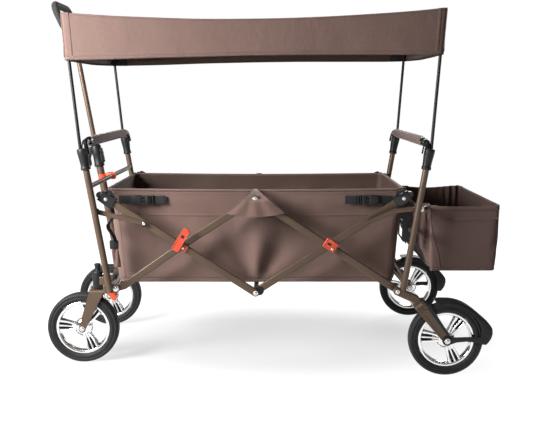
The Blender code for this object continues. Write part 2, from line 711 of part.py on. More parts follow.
def build_brake_pedals(axle):
    """The mudguard over each rear tyre, which is also the foot pedal of its brake."""
    inner = WHEEL_RADIUS + BRAKE_CLEARANCE
    outer = inner + BRAKE_SKIN
    outline = arc(axle, inner, -4, 96, 12) + arc(axle, outer, 96, 42, 6)
    outline += [arc(axle, outer + flare, angle, angle, 1)[0] for angle, flare in BRAKE_FLARE]
    outline += arc(axle, outer, -2, -4, 1)
    arm_y = TYRE_WIDTH / 2 + FORK_GAP + FORK_THICKNESS + GAP
    width = 2 * (arm_y + BRAKE_ARM)
    for label, side in NEAR_AND_FAR:
        y = side * POST_HALF_WIDTH
        pedal = plate(f"brake_pedal_{label}", outline, y, width, BLACK)
        spoke = ribbon([tuple(axle), (axle.x + inner + BRAKE_SKIN / 2, axle.y + BRAKE_CLEARANCE)],
                       [LUG_HALF_HEIGHT, LINK_HALF_HEIGHT], 6)
        plane = y + side * (arm_y + BRAKE_ARM / 2)
        bar = plate(f"brake_spoke_{label}", spoke, plane, BRAKE_ARM, BLACK)
        join(pedal, bar)
        cut(pedal, pin(f"brake_hole_{label}", *axle, plane - 2 * BRAKE_ARM, plane + 2 * BRAKE_ARM,
                       AXLE_RADIUS + GAP))
        turn_on(pedal, spot(axle.x, y, axle.y))


# The front end frame and its casters

def build_front_frame():
    foot_z = PIVOT_HEIGHT - POST_FOOT_DROP
    collar_radius = HOUSING_RADIUS + POST_FOOT_DROP
    member_x = front_post_x(CROSS_MEMBER_Z) - MEMBER_SETBACK
    posts = []
    extras = []
    for label, side in NEAR_AND_FAR:
        y = side * POST_HALF_WIDTH
        posts.append(tube(f"front_post_{label}", [spot(front_post_x(foot_z), y, foot_z),
                                                  spot(front_post_x(POST_TOP), y, POST_TOP)],
                          POST_RADIUS, BRONZE, 2))
        lug_y = side * (INNER_ARM_Y + ARM_THICKNESS / 2 + GAP + LINK_THICKNESS / 2)
        lug = plate(f"front_lug_{label}",
                    ribbon([(-HALF_SPAN, PIVOT_HEIGHT), (member_x, CROSS_MEMBER_Z)], LUG_HALF_HEIGHT),
                    lug_y, LINK_THICKNESS, BRONZE)
        extras.append(lug)
        inner = side * (INNER_ARM_Y - ARM_THICKNESS / 2)
        extras.append(pin(f"front_lug_pin_{label}", -HALF_SPAN, PIVOT_HEIGHT, lug_y, inner))
        extras.append(pin(f"link_pin_{label}", front_post_x(LINK_Z), LINK_Z, y,
                          side * (LINK_Y - LINK_THICKNESS / 2)))
        collar = rod(f"caster_collar_{label}",
                     spot(SWIVEL_X, side * CASTER_HALF_TRACK, CROSS_MEMBER_Z - MEMBER_HEIGHT * 0.54),
                     spot(SWIVEL_X, side * CASTER_HALF_TRACK, CROSS_MEMBER_Z + MEMBER_HEIGHT * 0.54),
                     collar_radius, BRONZE, 16)
        reach = member_x - SWIVEL_X
        web = block(f"caster_web_{label}",
                    spot(SWIVEL_X + reach / 2, side * CASTER_HALF_TRACK, CROSS_MEMBER_Z),
                    (reach, HOUSING_RADIUS * 1.8, MEMBER_HEIGHT * 0.92), BRONZE)
        extras += [web, collar]
    member = block("front_member", spot(member_x, 0, CROSS_MEMBER_Z),
                   (MEMBER_DEPTH, 2 * POST_HALF_WIDTH, MEMBER_HEIGHT), BRONZE, bevel=0.003)
    bar = block("front_crossbar", spot(front_post_x(CROSSBAR_HEIGHT), 0, CROSSBAR_HEIGHT),
                (CROSSBAR_DEPTH, 2 * POST_HALF_WIDTH, CROSSBAR_THICKNESS), BRONZE, bevel=0.003)
    ears = []
    for side in (-1, 1):
        ears.append(plate(f"draw_ear_{side}", ribbon([(DRAW_X, DRAW_Z), (member_x, CROSS_MEMBER_Z)],
                                                     LOWER_TUBE_RADIUS),
                          side * (LOWER_TUBE_RADIUS + GAP + PIN_HEAD / 2), PIN_HEAD, BRONZE))
    frame = member
    frame.name = "front_frame"
    join(frame, *posts, bar, *extras, *ears)
    for label, side in NEAR_AND_FAR:
        bore = rod(f"caster_bore_{label}",
                   spot(SWIVEL_X, side * CASTER_HALF_TRACK, CROSS_MEMBER_Z - 1.5 * MEMBER_HEIGHT),
                   spot(SWIVEL_X, side * CASTER_HALF_TRACK, CROSS_MEMBER_Z + 1.5 * MEMBER_HEIGHT),
                   HOUSING_RADIUS + GAP, None, 16, CUTTERS)
        cut(frame, bore)
    cut(frame, pin("draw_pin_hole", DRAW_X, DRAW_Z, -2 * LOWER_TUBE_RADIUS, 2 * LOWER_TUBE_RADIUS,
                   PIN_RADIUS + GAP))
    turn_on(frame, spot(-HALF_SPAN, 0, PIVOT_HEIGHT))


def build_casters():
    plate_z = CASTER_TOP - FORK_THICKNESS / 2
    for label, side in NEAR_AND_FAR:
        y = side * CASTER_HALF_TRACK
        # The moulded housing that holds the swivel bearing, with its narrower cap
        depth = HOUSING_TOP - HOUSING_BOTTOM
        profile = [(0.0, CAP_HEIGHT)]
        profile += [(HOUSING_RADIUS * radius, CAP_HEIGHT * level) for radius, level in
                    ((0.52, 1.0), (0.63, 0.88), (0.55, 0.57), (0.55, 0.07), (0.93, 0.0), (1.0, -0.12))]
        profile += [(HOUSING_RADIUS, -depth), (0.0, -depth)]
        turned(f"swivel_housing_{label}", profile, spot(SWIVEL_X, y, HOUSING_TOP), BLACK, 16,
               along_y=False, closed=False)
        # The stamped fork
        inside = TYRE_WIDTH / 2 + FORK_GAP
        blade_y = inside + FORK_THICKNESS / 2
        axle = (FRONT_AXLE_X, WHEEL_RADIUS)
        crown = (SWIVEL_X, plate_z - FORK_TOP_HALF * 0.78)
        outline = ribbon([crown, axle], [FORK_TOP_HALF, FORK_END_HALF], 5)
        fork = plate(f"caster_fork_{label}", outline, y + blade_y, FORK_THICKNESS, BRONZE)
        other = plate(f"caster_blade_{label}", outline, y - blade_y, FORK_THICKNESS, BRONZE)
        top = block(f"caster_top_{label}", spot(SWIVEL_X, y, plate_z),
                    (2 * FORK_TOP_HALF, 2 * (inside + FORK_THICKNESS), FORK_THICKNESS), BRONZE)
        axle_rod = pin(f"caster_axle_{label}", *axle, y - blade_y - AXLE_END, y + blade_y + AXLE_END,
                       AXLE_RADIUS)
        join(fork, top, other, axle_rod)
        turn_on(fork, spot(SWIVEL_X, y, plate_z))
        # The red lever that locks the swivel
        hinge = (SWIVEL_X + FORK_TOP_HALF + PIN_HEAD, CASTER_TOP - 1.5 * PIN_HEAD)
        outline = [(hinge[0] + x, hinge[1] + z) for x, z in SWIVEL_LEVER_SHAPE]
        lever = plate(f"swivel_lock_{label}", outline, y, SWIVEL_LEVER_WIDTH, RED)
        soften(lever, 0.002, 2)
        turn_on(lever, spot(hinge[0], y, hinge[1]))


# Handles, sockets and hoops of both ends

def build_end(end, sign, post_x, hoop_top, hoop_lean):
    """The push handle with its sockets, the cloth sleeve and the canopy hoop of one end."""
    lean = Vector((sign * math.sin(math.radians(POST_LEAN)), 0, math.cos(math.radians(POST_LEAN))))
    socket_top = SOCKET_BOTTOM + SOCKET_HEIGHT
    corners = []
    sockets = []
    for label, side in NEAR_AND_FAR:
        base = spot(post_x(SOCKET_BOTTOM), side * POST_HALF_WIDTH, SOCKET_BOTTOM)
        top = base + lean * (SOCKET_HEIGHT / lean.z)
        socket = rod(f"{end}_socket_{label}", base, top, SOCKET_RADIUS * 0.82, BLACK, 16,
                     end_radius=SOCKET_RADIUS)
        soften(socket, HANDLE_RADIUS / 3, 1, 50)
        sockets.append(socket)
        corners.append(top)
    inward = Vector((-sign * HANDLE_SHIFT, 0, 0))
    rise = Vector((sign * HANDLE_ELBOW_RISE * LEAN, 0, HANDLE_HEIGHT - socket_top))
    path = [corners[0] + inward - lean * HANDLE_ROOT, corners[0] + inward + rise,
            corners[1] + inward + rise, corners[1] + inward - lean * HANDLE_ROOT]
    handle = tube(f"{end}_handle", rounded_path(path, 3.6 * HANDLE_RADIUS, 4), HANDLE_RADIUS, BLACK, 2)
    join(handle, *sockets)
    slope = math.tan(math.radians(hoop_lean)) * sign
    foot_x = corners[0].x + sign * HOOP_OFFSET
    well_floor = socket_top - HOOP_WELL_DEPTH
    foot_z = well_floor + 3 * GAP
    hoop = []
    for label, side in NEAR_AND_FAR:
        y = side * POST_HALF_WIDTH
        # The holes in the socket that the post and the hoop fill
        well_end = spot(post_x(POST_TOP), y, POST_TOP) + lean * WELL_END_GAP
        cut(handle, rod(f"{end}_post_well_{label}", well_end - lean * 2 * SOCKET_HEIGHT, well_end,
                        POST_RADIUS + GAP, None, 16, CUTTERS))
        foot = Vector((foot_x, y, well_floor))
        cut(handle, rod(f"{end}_hoop_well_{label}", foot,
                        foot + Vector((slope, 0, 1)) * SOCKET_HEIGHT, HOOP_RADIUS + 2 * GAP, None, 12, CUTTERS))
        hoop += [foot + Vector((slope, 0, 1)) * (foot_z - well_floor),
                 foot + Vector((slope, 0, 1)) * (hoop_top - well_floor)]
    bar = corners[0] + inward + rise
    sleeve = rod(f"{end}_handle_sleeve", Vector((bar.x, -SLEEVE_HALF_LENGTH, bar.z)),
                 Vector((bar.x, SLEEVE_HALF_LENGTH, bar.z)), SLEEVE_RADIUS, FABRIC, 20)
    soften(sleeve, 0.003, 2, 50)
    cut(sleeve, rod(f"{end}_sleeve_bore", Vector((bar.x, -POST_HALF_WIDTH, bar.z)),
                    Vector((bar.x, POST_HALF_WIDTH, bar.z)), HANDLE_RADIUS + GAP, None, 16, CUTTERS))
    tube(f"{end}_hoop", rounded_path([hoop[0], hoop[1], hoop[3], hoop[2]], HOOP_BEND, 5), HOOP_RADIUS, BLACK, 1)
    return hoop[1].x


# Cloth pieces

def grid_mesh(name, rows, material, close_rows=False):
    """A quad surface through rows of points."""
    shape = bmesh.new()
    grid = [[shape.verts.new(point) for point in row] for row in rows]
    for upper, lower in zip(grid, grid[1:]):
        pairs = list(zip(range(len(upper)), range(1, len(upper))))
        if close_rows:
            pairs.append((len(upper) - 1, 0))
        for a, b in pairs:
            shape.faces.new((upper[a], upper[b], lower[b], lower[a]))
    mesh = bpy.data.meshes.new(name)
    shape.to_mesh(mesh)
    shape.free()
    mesh.shade_smooth()
    return add_object(name, mesh, material)


def thicken(item, thickness, offset):
    solid = item.modifiers.new("cloth", "SOLIDIFY")
    solid.thickness = thickness
    solid.offset = offset
    return item


def ring_outline(x_low, x_high, half, radius, long_steps, short_steps, corner_steps=3):
    """A rounded rectangle in plan, as points that run round it."""
    corners = ((x_high - radius, half - radius, 0), (x_low + radius, half - radius, 90),
               (x_low + radius, -half + radius, 180), (x_high - radius, -half + radius, 270))
    points = []
    counts = (long_steps, short_steps, long_steps, short_steps)
    for index, (x, y, start) in enumerate(corners):
        points += arc((x, y), radius, start, start + 90, corner_steps)
        end = points[-1]
        nx, ny, next_start = corners[(index + 1) % 4]
        target = arc((nx, ny), radius, next_start, next_start + 90, corner_steps)[0]
        for step in range(1, counts[index]):
            share = step / counts[index]
            points.append((end[0] + (target[0] - end[0]) * share, end[1] + (target[1] - end[1]) * share))
    return points


def build_canopy(front_x, rear_x):
    """The stretched top with its four hanging borders, in one cloth shell."""
    margin = HOOP_RADIUS + CLOTH + CANOPY_MARGIN
    x_low, x_high = front_x - margin, rear_x + margin
    half = POST_HALF_WIDTH + HOOP_RADIUS + CANOPY_SIDE_MARGIN
    top_front = FRONT_HOOP_TOP + HOOP_RADIUS + CANOPY_MARGIN * 0.7
    top_rear = REAR_HOOP_TOP + HOOP_RADIUS + CANOPY_MARGIN * 0.7

    def top_height(x, y):
        share = (x - x_low) / (x_high - x_low)
        level = top_front + (top_rear - top_front) * share
        sag = CANOPY_SAG * math.sin(math.pi * min(1, max(0, (share - 0.012) / 0.976))) ** 0.8
        return level - sag * (0.75 + 0.25 * math.cos(math.pi * y / half / 2))

    def ring(inset, drop, fold=0.0):
        points = []
        outline = ring_outline(x_low + inset, x_high - inset, half - inset * 0.6, 0.012, 16, 8)
        for index, (x, y) in enumerate(outline):
            level = top_height(x, y)
            wave = fold * math.sin(index * 2.4)
            push = 1 + wave / half
            points.append(Vector((x, y * push, level - drop)))
        return points

    rows = [ring(0.006, CANOPY_DROP, 0.0035), ring(0.003, CANOPY_DROP * 0.55, 0.002),
            ring(0.0005, 0.012), ring(0.0, 0.004), ring(0.004, 0.0)]
    shape = bmesh.new()
    rings = [[shape.verts.new(point) for point in row] for row in rows]
    count = len(rings[0])
    for lower, upper in zip(rings, rings[1:]):
        for a in range(count):
            b = (a + 1) % count
            shape.faces.new((lower[a], lower[b], upper[b], upper[a]))
    rim = rings[-1]
    # The top is bridged across from one long side to the other
    corner = 4
    long_steps, short_steps = 16, 8
    first = rim[corner - 1:corner - 1 + long_steps + 1]
    start = corner - 1 + long_steps + corner - 1 + short_steps + corner - 1
    second = [rim[(start + step) % count] for step in range(long_steps + 1)][::-1]
    left = [rim[(corner - 1 + long_steps + step) % count] for step in range(2 * corner - 1 + short_steps)]
    grid_rows = []
    across = 8
    for a, b in zip(first, second):
        row = [a]
        for step in range(1, across):
            x = a.co.x + (b.co.x - a.co.x) * step / across
            y = a.co.y + (b.co.y - a.co.y) * step / across
            row.append(shape.verts.new((x, y, top_height(x, y))))
        row.append(b)
        grid_rows.append(row)
    for upper, lower in zip(grid_rows, grid_rows[1:]):
        for a, b in zip(range(across), range(1, across + 1)):
            shape.faces.new((upper[a], lower[a], lower[b], upper[b]))
    right_start = start + long_steps
    right = [rim[(right_start + step) % count] for step in range(2 * corner - 1 + short_steps)]
    for edge_row, strip in ((grid_rows[-1], left), (grid_rows[0][::-1], right)):
        bridge_end(shape, edge_row, strip)
    bmesh.ops.recalc_face_normals(shape, faces=shape.faces)
    mesh = bpy.data.meshes.new("canopy")
    shape.to_mesh(mesh)
    shape.free()
    mesh.shade_smooth()
    item = add_object("canopy", mesh, FABRIC)
    thicken(item, CLOTH, 1.0)


def bridge_end(shape, row, strip):
    """Closes the gap between a straight row of points and the rounded end of the top."""
    loop = strip[:-1] if strip[-1] is row[-1] else strip
    inner = row[1:-1]
    ends = [vert for vert in loop if vert not in (row[0], row[-1])]
    face = [row[0]] + ends + [row[-1]] + inner[::-1]
    shape.faces.new(face)


def build_basket():
    """The cloth tub, open at the top, with soft corners and walls that lean in towards the floor."""
    rows = []
    for depth, taper in WALL_STEPS:
        inset = BASKET_TAPER * taper
        outline = ring_outline(-BASKET_FRONT + inset, BASKET_REAR - inset,
                               BASKET_HALF_WIDTH - inset * 0.5, 0.022, 8, 4)
        z = RIM_HEIGHT - BASKET_DEPTH * depth
        rows.append([spot(x, y, z) for x, y in outline])
    tub = grid_mesh("basket", rows, FABRIC, close_rows=True)
    shape = bmesh.new()
    shape.from_mesh(tub.data)
    shape.verts.ensure_lookup_table()
    count = len(rows[0])
    shape.faces.new([shape.verts[(len(rows) - 1) * count + index] for index in range(count)])
    bmesh.ops.recalc_face_normals(shape, faces=shape.faces)
    shape.to_mesh(tub.data)
    shape.free()
    tub.data.shade_smooth()
    thicken(tub, CLOTH, -1.0)
    inset = BASKET_TAPER * WALL_STEPS[-1][1] + 2.5 * CLOTH
    outline = ring_outline(-BASKET_FRONT + inset, BASKET_REAR - inset, BASKET_HALF_WIDTH - 9 * CLOTH,
                           0.015, 1, 1)
    floor_z = RIM_HEIGHT - BASKET_DEPTH + 1.5 * CLOTH + MAT_THICKNESS / 2
    mat = flat_plate("floor_mat", outline, floor_z, MAT_THICKNESS, FABRIC)
    soften(mat, 0.002, 1)


def build_straps():
    """The webbing with its side-release buckle at each corner of the basket."""
    strap_z = RIM_HEIGHT - STRAP_DROP
    y = BASKET_HALF_WIDTH + 2.5 * CLOTH
    for end, sign in (("front", -1), ("rear", 1)):
        for label, side in NEAR_AND_FAR:
            x = sign * (HUB_X - STRAP_INSET)
            web = block(f"{end}_strap_{label}", spot(x, side * y, strap_z),
                        (STRAP_LENGTH, STRAP_THICKNESS, STRAP_WIDTH), WEBBING)
            buckle = block(f"{end}_buckle_{label}",
                           spot(x - sign * BUCKLE_SHIFT, side * (y + 0.3 * BUCKLE_SIZE[1]), strap_z),
                           BUCKLE_SIZE, BLACK)
            soften(buckle, 0.003, 1)
            join(web, buckle)


def bag_outline(front, shoulder, rear, throat_half, half):
    """The bag in plan: full width at the rear, and drawn in towards the rear posts."""
    radius = 0.020
    points = arc((rear - radius, half - radius), radius, 0, 90, 3)
    points += [((shoulder + rear) / 2, half), (shoulder + 0.006, half), (shoulder - 0.002, half - 0.008)]
    points += [(front + 0.012, throat_half), (front, throat_half - 0.010)]
    points += [(front, y) for y in (throat_half * 0.5, 0.0)]
    mirrored = [(x, -y) for x, y in points[::-1] if y > 0]
    return points + mirrored + [(rear, 0.0)]


def build_bag():
    """The rear bag with its rim tube, which turns down on the rear posts when the wagon folds."""
    pivot_x = rear_post_x(LINK_Z)
    rest = BAG_REST
    inner_half = BAG_HALF_WIDTH - BAG_TUBE_INSET
    reach = REAR_LINK_FRACTION * ARM_FOOT
    tip = (CROSS_X + reach * math.cos(OPEN), CROSS_Z + reach * math.sin(OPEN))
    rear = BAG_START + BAG_LENGTH - BAG_TUBE_INSET - 0.001
    tubes = []
    for side in (-1, 1):
        y = side * LINK_Y
        tubes.append([spot(tip[0], y, tip[1]), spot(tip[0] + 0.018, y, tip[1] + 0.002),
                      spot(pivot_x - 0.045, y, rest - 0.002), spot(pivot_x + 0.012, y, rest),
                      spot(BAG_START - 0.012, side * inner_half, rest),
                      spot(rear, side * inner_half, rest)])
    path = rounded_path(tubes[0] + tubes[1][::-1], BAG_BEND, 3)
    rim = tube("bag_frame", path, BAG_TUBE_RADIUS, BRONZE, 1)
    turn_on(rim, spot(pivot_x, 0, rest))

    rows = []
    for depth, narrow, slant in BAG_STEPS:
        outline = bag_outline(BAG_START - BAG_THROAT + slant, BAG_START + max(0.0, slant - BAG_THROAT) + narrow,
                              BAG_START + BAG_LENGTH - narrow, BAG_THROAT_HALF_WIDTH - narrow,
                              BAG_HALF_WIDTH + 0.001 - narrow * 0.6)
        z = rest + 0.004 - BAG_DEPTH * depth
        rows.append([spot(x, y, z) for x, y in outline])
    bag = grid_mesh("rear_bag", rows, FABRIC, close_rows=True)
    shape = bmesh.new()
    shape.from_mesh(bag.data)
    shape.verts.ensure_lookup_table()
    count = len(rows[0])
    shape.faces.new([shape.verts[(len(rows) - 1) * count + index] for index in range(count)])
    bmesh.ops.recalc_face_normals(shape, faces=shape.faces)
    shape.to_mesh(bag.data)
    shape.free()
    bag.data.shade_smooth()
    thicken(bag, CLOTH, -1.0)
    turn_on(bag, spot(pivot_x, 0, rest))
    mouth = BAG_START - BAG_THROAT_INSET - PIN_HEAD
    channel = [spot(mouth, -inner_half, rest), spot(rear, -inner_half, rest),
               spot(rear, inner_half, rest), spot(mouth, inner_half, rest)]
    cut(bag, tube("bag_channel", rounded_path(channel, BAG_BEND, 3), BAG_TUBE_RADIUS + GAP, None, 2,
                  collection=CUTTERS))


# The draw handle

def build_draw_handle():
    along = Vector((-math.sin(DRAW_ANGLE), 0, math.cos(DRAW_ANGLE)))
    pivot = spot(DRAW_X, 0, DRAW_Z)
    clamp_start = pivot + along * CLAMP_START
    clamp_end = clamp_start + along * CLAMP_LENGTH
    seat_end = clamp_start + along * CLAMP_SEAT
    # The lower tube with its eye
    eye_half = LOWER_TUBE_RADIUS * 0.95
    pin_half = LOWER_TUBE_RADIUS + PIN_HEAD + 4 * GAP
    lower = rod("draw_lower_tube", pivot + along * POST_FOOT_DROP, seat_end, LOWER_TUBE_RADIUS, BRONZE, 20)
    eye = pin("draw_eye", DRAW_X, DRAW_Z, -eye_half, eye_half, LOWER_TUBE_RADIUS * 0.91, 20)
    join(lower, eye, pin("draw_pin", DRAW_X, DRAW_Z, -pin_half, pin_half))
    cut(lower, rod("draw_bore", pivot + along * 2.2 * LOWER_TUBE_RADIUS, clamp_end, LOWER_TUBE_BORE, None, 16,
                   CUTTERS))
    place_origin(lower, pivot)
    # The clamp that holds the upper tube
    clamp = rod("draw_clamp", clamp_start, clamp_end, CLAMP_RADIUS, BLACK, 20)
    soften(clamp, CLAMP_RADIUS / 5, 2, 50)
    back = block("draw_clamp_back", (clamp_start + clamp_end) / 2 + Vector((CLAMP_RADIUS / 1.5, 0, 0)),
                 (CLAMP_RADIUS * 0.93, CLAMP_RADIUS * 1.33, CLAMP_LENGTH * 0.65), None, (0, -DRAW_ANGLE, 0),
                 CUTTERS, CLAMP_RADIUS / 5)
    join(clamp, back)
    cut(clamp, rod("draw_clamp_seat", clamp_start - along * CLAMP_SEAT, seat_end + along * GAP,
                   LOWER_TUBE_RADIUS + GAP, None, 20, CUTTERS),
        rod("draw_clamp_bore", seat_end - along * CLAMP_SEAT / 2, clamp_end + along * CLAMP_LENGTH,
            UPPER_TUBE_RADIUS + GAP, None, 16, CUTTERS))
    # The cam lever of the clamp
    lever_at = clamp_start + along * CLAMP_LENGTH * 0.8065 - Vector((CLAMP_RADIUS * 1.3, 0, 0))
    lever_path = [lever_at, lever_at - Vector((2 * CAM_RADIUS, 0, CLAMP_LENGTH * 0.29)),
                  lever_at - Vector((1.7 * CAM_RADIUS, 0, CLAMP_LENGTH * 0.8))]
    lever = tube("clamp_lever", rounded_path(lever_path, 3 * CAM_RADIUS, 3), CAM_RADIUS, BLACK, 2)
    place_origin(lever, lever_at)
    # The upper tube that slides in the lower one
    start = clamp_start - along * TUBE_OVERLAP
    top = clamp_start + along * UPPER_TUBE_RISE
    upper = rod("draw_upper_tube", start, top, UPPER_TUBE_RADIUS, BRONZE, 16)
    place_origin(upper, start)
    # The padded loop grip
    lift = Vector((-math.sin(DRAW_ANGLE * 2.2), 0, math.cos(DRAW_ANGLE * 2.2)))
    side = Vector((0, 1, 0))
    path = []
    for way in (-1, 1):
        leg = [top + side * way * across + lift * rise for across, rise in
               ((GRIP_THROAT, GRIP_THROAT), (GRIP_HALF_WIDTH * 0.80, GRIP_SHOULDER),
                (GRIP_HALF_WIDTH, GRIP_HEIGHT))]
        path += leg if way < 0 else leg[::-1]
    grip = tube("draw_grip", rounded_path(path, GRIP_BEND, 4), GRIP_RADIUS, FOAM, 2)
    collar = rod("draw_grip_collar", top - along * GRIP_COLLAR_RADIUS, top + lift * GRIP_COLLAR_RISE,
                 GRIP_COLLAR_RADIUS, None, 16, CUTTERS)
    join(grip, collar)
    cut(grip, rod("draw_grip_bore", top - along * GRIP_BEND, top + along * GAP, UPPER_TUBE_RADIUS + GAP,
                  None, 16, CUTTERS))
    place_origin(grip, top)


def place_origin(item, point):
    """Moves the origin of a piece that already has a turn of its own."""
    bpy.context.view_layer.update()
    item.data.transform(item.matrix_world)
    item.matrix_world = Matrix.Identity(4)
    item.data.transform(Matrix.Translation(-Vector(point)))
    item.location = point


def build_draw_clip():
    """The open red clip on the crossbar that parks the draw handle."""
    z = CROSSBAR_HEIGHT - CLIP_DROP
    bar_x = front_post_x(CROSSBAR_HEIGHT)
    slope = math.tan(DRAW_ANGLE)
    handle_x = DRAW_X - (z - DRAW_Z) * slope
    outer = LOWER_TUBE_RADIUS + CLIP_WALL
    inner = LOWER_TUBE_RADIUS + 2 * GAP
    outline = arc((handle_x, 0), outer, -99, 99, 10) + arc((handle_x, 0), inner, 99, -99, 10)
    clip = flat_plate("draw_clip", outline, z, CLIP_HEIGHT, RED)
    seat = block("draw_clip_seat", spot(bar_x, 0, CROSSBAR_HEIGHT),
                 (CROSSBAR_DEPTH + 2 * GAP, 5 * outer, CROSSBAR_THICKNESS + 2 * GAP), None, collection=CUTTERS)
    low_x, high_x = handle_x + outer * 0.8, bar_x + CROSSBAR_DEPTH * 0.82
    foot = block("draw_clip_foot", spot((low_x + high_x) / 2, 0, CROSSBAR_HEIGHT),
                 (high_x - low_x, outer * 1.37, CLIP_HEIGHT * 1.25), None, collection=CUTTERS)
    join(clip, foot)
    rise = 2.5 * CLIP_HEIGHT
    channel = rod("draw_clip_channel", spot(handle_x + rise * slope, 0, z - rise),
                  spot(handle_x - rise * slope, 0, z + rise), inner, None, 20, CUTTERS)
    cut(clip, seat, channel)


# The locks on the crossings of the arms

def build_locks():
    face = OUTER_ARM_Y + ARM_THICKNESS / 2 + PIN_HEAD + 2 * GAP
    middle_y = face + LOCK_THICKNESS / 2 + 0.0005
    angle = math.radians(FRONT_LOCK_ANGLE)
    for label, side in NEAR_AND_FAR:
        # The front lever stands open, beside its crossing
        base = Vector((-CROSS_X - 0.013, CROSS_Z - 0.002))
        heading = Vector((math.cos(angle), math.sin(angle)))
        outline = ribbon([tuple(base), tuple(base + heading * FRONT_LOCK_LENGTH)], LOCK_HALF_HEIGHT, 3)
        lever = plate(f"front_lock_{label}", outline, side * middle_y, LOCK_THICKNESS, RED)
        soften(lever, 0.0015, 1)
        window = base + heading * FRONT_LOCK_LENGTH * 0.72
        cut(lever, block(f"front_lock_hole_{label}", spot(window.x, side * middle_y, window.y),
                         (LOCK_THICKNESS, 5 * LOCK_THICKNESS, LOCK_THICKNESS), None, (0, -angle, 0), CUTTERS))
        turn_on(lever, spot(base.x, side * face, base.y))
        # The rear lock is closed over its crossing
        along = Vector((math.cos(-OPEN), math.sin(-OPEN)))
        across = Vector((-along.y, along.x))
        centre = Vector((CROSS_X, CROSS_Z)) + across * 0.006
        outline = [centre + along * a * REAR_LOCK_HALF_LENGTH + across * b * REAR_LOCK_HALF_HEIGHT
                   for a, b in ((1, 1), (-1, 1), (-1, -1), (1, -1))]
        lock = plate(f"rear_lock_{label}", [tuple(p) for p in outline], side * middle_y, LOCK_THICKNESS, RED)
        soften(lock, 0.002, 1)
        turn_on(lock, spot(CROSS_X, side * face, CROSS_Z))


def build_wagon():
    build_arms()
    build_hubs()
    build_links()
    axle = build_rear_frame()
    build_wheels()
    build_brake_pedals(axle)
    build_front_frame()
    build_casters()
    front_x = build_end("front", -1, front_post_x, FRONT_HOOP_TOP, FRONT_HOOP_LEAN)
    rear_x = build_end("rear", 1, rear_post_x, REAR_HOOP_TOP, REAR_HOOP_LEAN)
    build_canopy(front_x, rear_x)
    build_basket()
    build_straps()
    build_bag()
    build_draw_handle()
    build_draw_clip()
    build_locks()


build_wagon()
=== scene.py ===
"""Dresses the folding wagon: its painted frame, wheels, mouldings, cloth, webbing and fasteners.

Metres, +Z up, +X towards the rear bag, near side at -Y. Every place comes from the wagon's joints and
from the boxes of its solids.
"""
import json
import math
from math import cos, pi, radians, sin

import bmesh
import bpy
from bpy.props import FloatProperty, FloatVectorProperty, IntProperty, PointerProperty
from mathutils import Matrix, Vector, noise


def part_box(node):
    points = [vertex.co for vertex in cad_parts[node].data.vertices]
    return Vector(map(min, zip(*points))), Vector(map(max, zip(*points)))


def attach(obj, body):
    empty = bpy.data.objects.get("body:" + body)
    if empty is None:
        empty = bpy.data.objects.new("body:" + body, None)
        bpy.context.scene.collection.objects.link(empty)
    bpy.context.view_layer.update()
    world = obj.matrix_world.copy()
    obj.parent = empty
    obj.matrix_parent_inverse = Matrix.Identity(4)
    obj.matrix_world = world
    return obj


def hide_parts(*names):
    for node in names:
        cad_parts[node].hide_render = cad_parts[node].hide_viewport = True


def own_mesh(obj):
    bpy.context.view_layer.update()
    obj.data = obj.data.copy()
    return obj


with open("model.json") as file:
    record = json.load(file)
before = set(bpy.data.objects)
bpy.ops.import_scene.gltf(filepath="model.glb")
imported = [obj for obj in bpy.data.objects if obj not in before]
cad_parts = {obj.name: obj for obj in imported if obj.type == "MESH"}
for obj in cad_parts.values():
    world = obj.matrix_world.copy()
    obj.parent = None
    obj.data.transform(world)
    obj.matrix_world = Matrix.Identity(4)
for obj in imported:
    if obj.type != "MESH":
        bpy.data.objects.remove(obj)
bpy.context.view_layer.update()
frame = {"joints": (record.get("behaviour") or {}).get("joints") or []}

bl_info = {
    "name": "Folding Wagon Finish",
    "version": (1, 0, 0),
    "blender": (4, 5, 0),
    "location": "3D View > Sidebar > Wagon",
    "description": "Builds the finished pieces of a folding wagon around its solids",
    "category": "Object",
}

NEAR_AND_FAR = (("near", -1), ("far", 1))
UP = Vector((0, 0, 1))
ACROSS = Vector((0, 1, 0))

# Places of the wagon, taken from its joints

JOINTS = {joint["name"]: joint for joint in frame["joints"]}


def joint_at(name):
    return Vector(JOINTS[name]["pos_m"])


def middle(node):
    low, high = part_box(node)
    return (low + high) / 2


def span(node):
    low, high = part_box(node)
    return high - low


REAR_FOOT = joint_at("fold")
REAR_CROSSING = joint_at("rear_crossing")
TOP_MIDDLE = joint_at("top_middle")
FRONT_CROSSING = joint_at("front_crossing")
FRONT_FOOT = joint_at("front_foot")
LINK_NEAR = joint_at("link_turn")
BAG_PIVOT = joint_at("bag_turn")
REAR_AXLE = joint_at("rear_wheel_near_spin")
FRONT_AXLE = joint_at("front_wheel_near_spin")
SWIVEL = joint_at("caster_near_swivel")
DRAW_PIVOT = joint_at("draw_swing")
CLAMP_HINGE = joint_at("clamp_open")
LOW_MIDDLE = Vector((TOP_MIDDLE.x, 0, 2 * REAR_CROSSING.z - TOP_MIDDLE.z))
REAR_HUB = Vector((2 * REAR_CROSSING.x - TOP_MIDDLE.x, 0, TOP_MIDDLE.z))
FRONT_HUB = Vector((2 * FRONT_CROSSING.x - TOP_MIDDLE.x, 0, TOP_MIDDLE.z))
POST_Y = abs(middle("rear_near_tyre").y)
CASTER_Y = abs(middle("front_near_tyre").y)
OUTER_ARM_Y = abs(middle("front_upper_arm_near").y)
LINK_Y = abs(middle("front_link_near").y)
LEG_Y = POST_Y - 0.0015
CROSSBAR_Z = middle("draw_clip").z + 0.002
KNEE = REAR_FOOT + Vector((0.0485, 0, -0.0208))
REAR_RUN = (Vector((REAR_AXLE.x, 0, REAR_AXLE.z)) - KNEE).normalized()
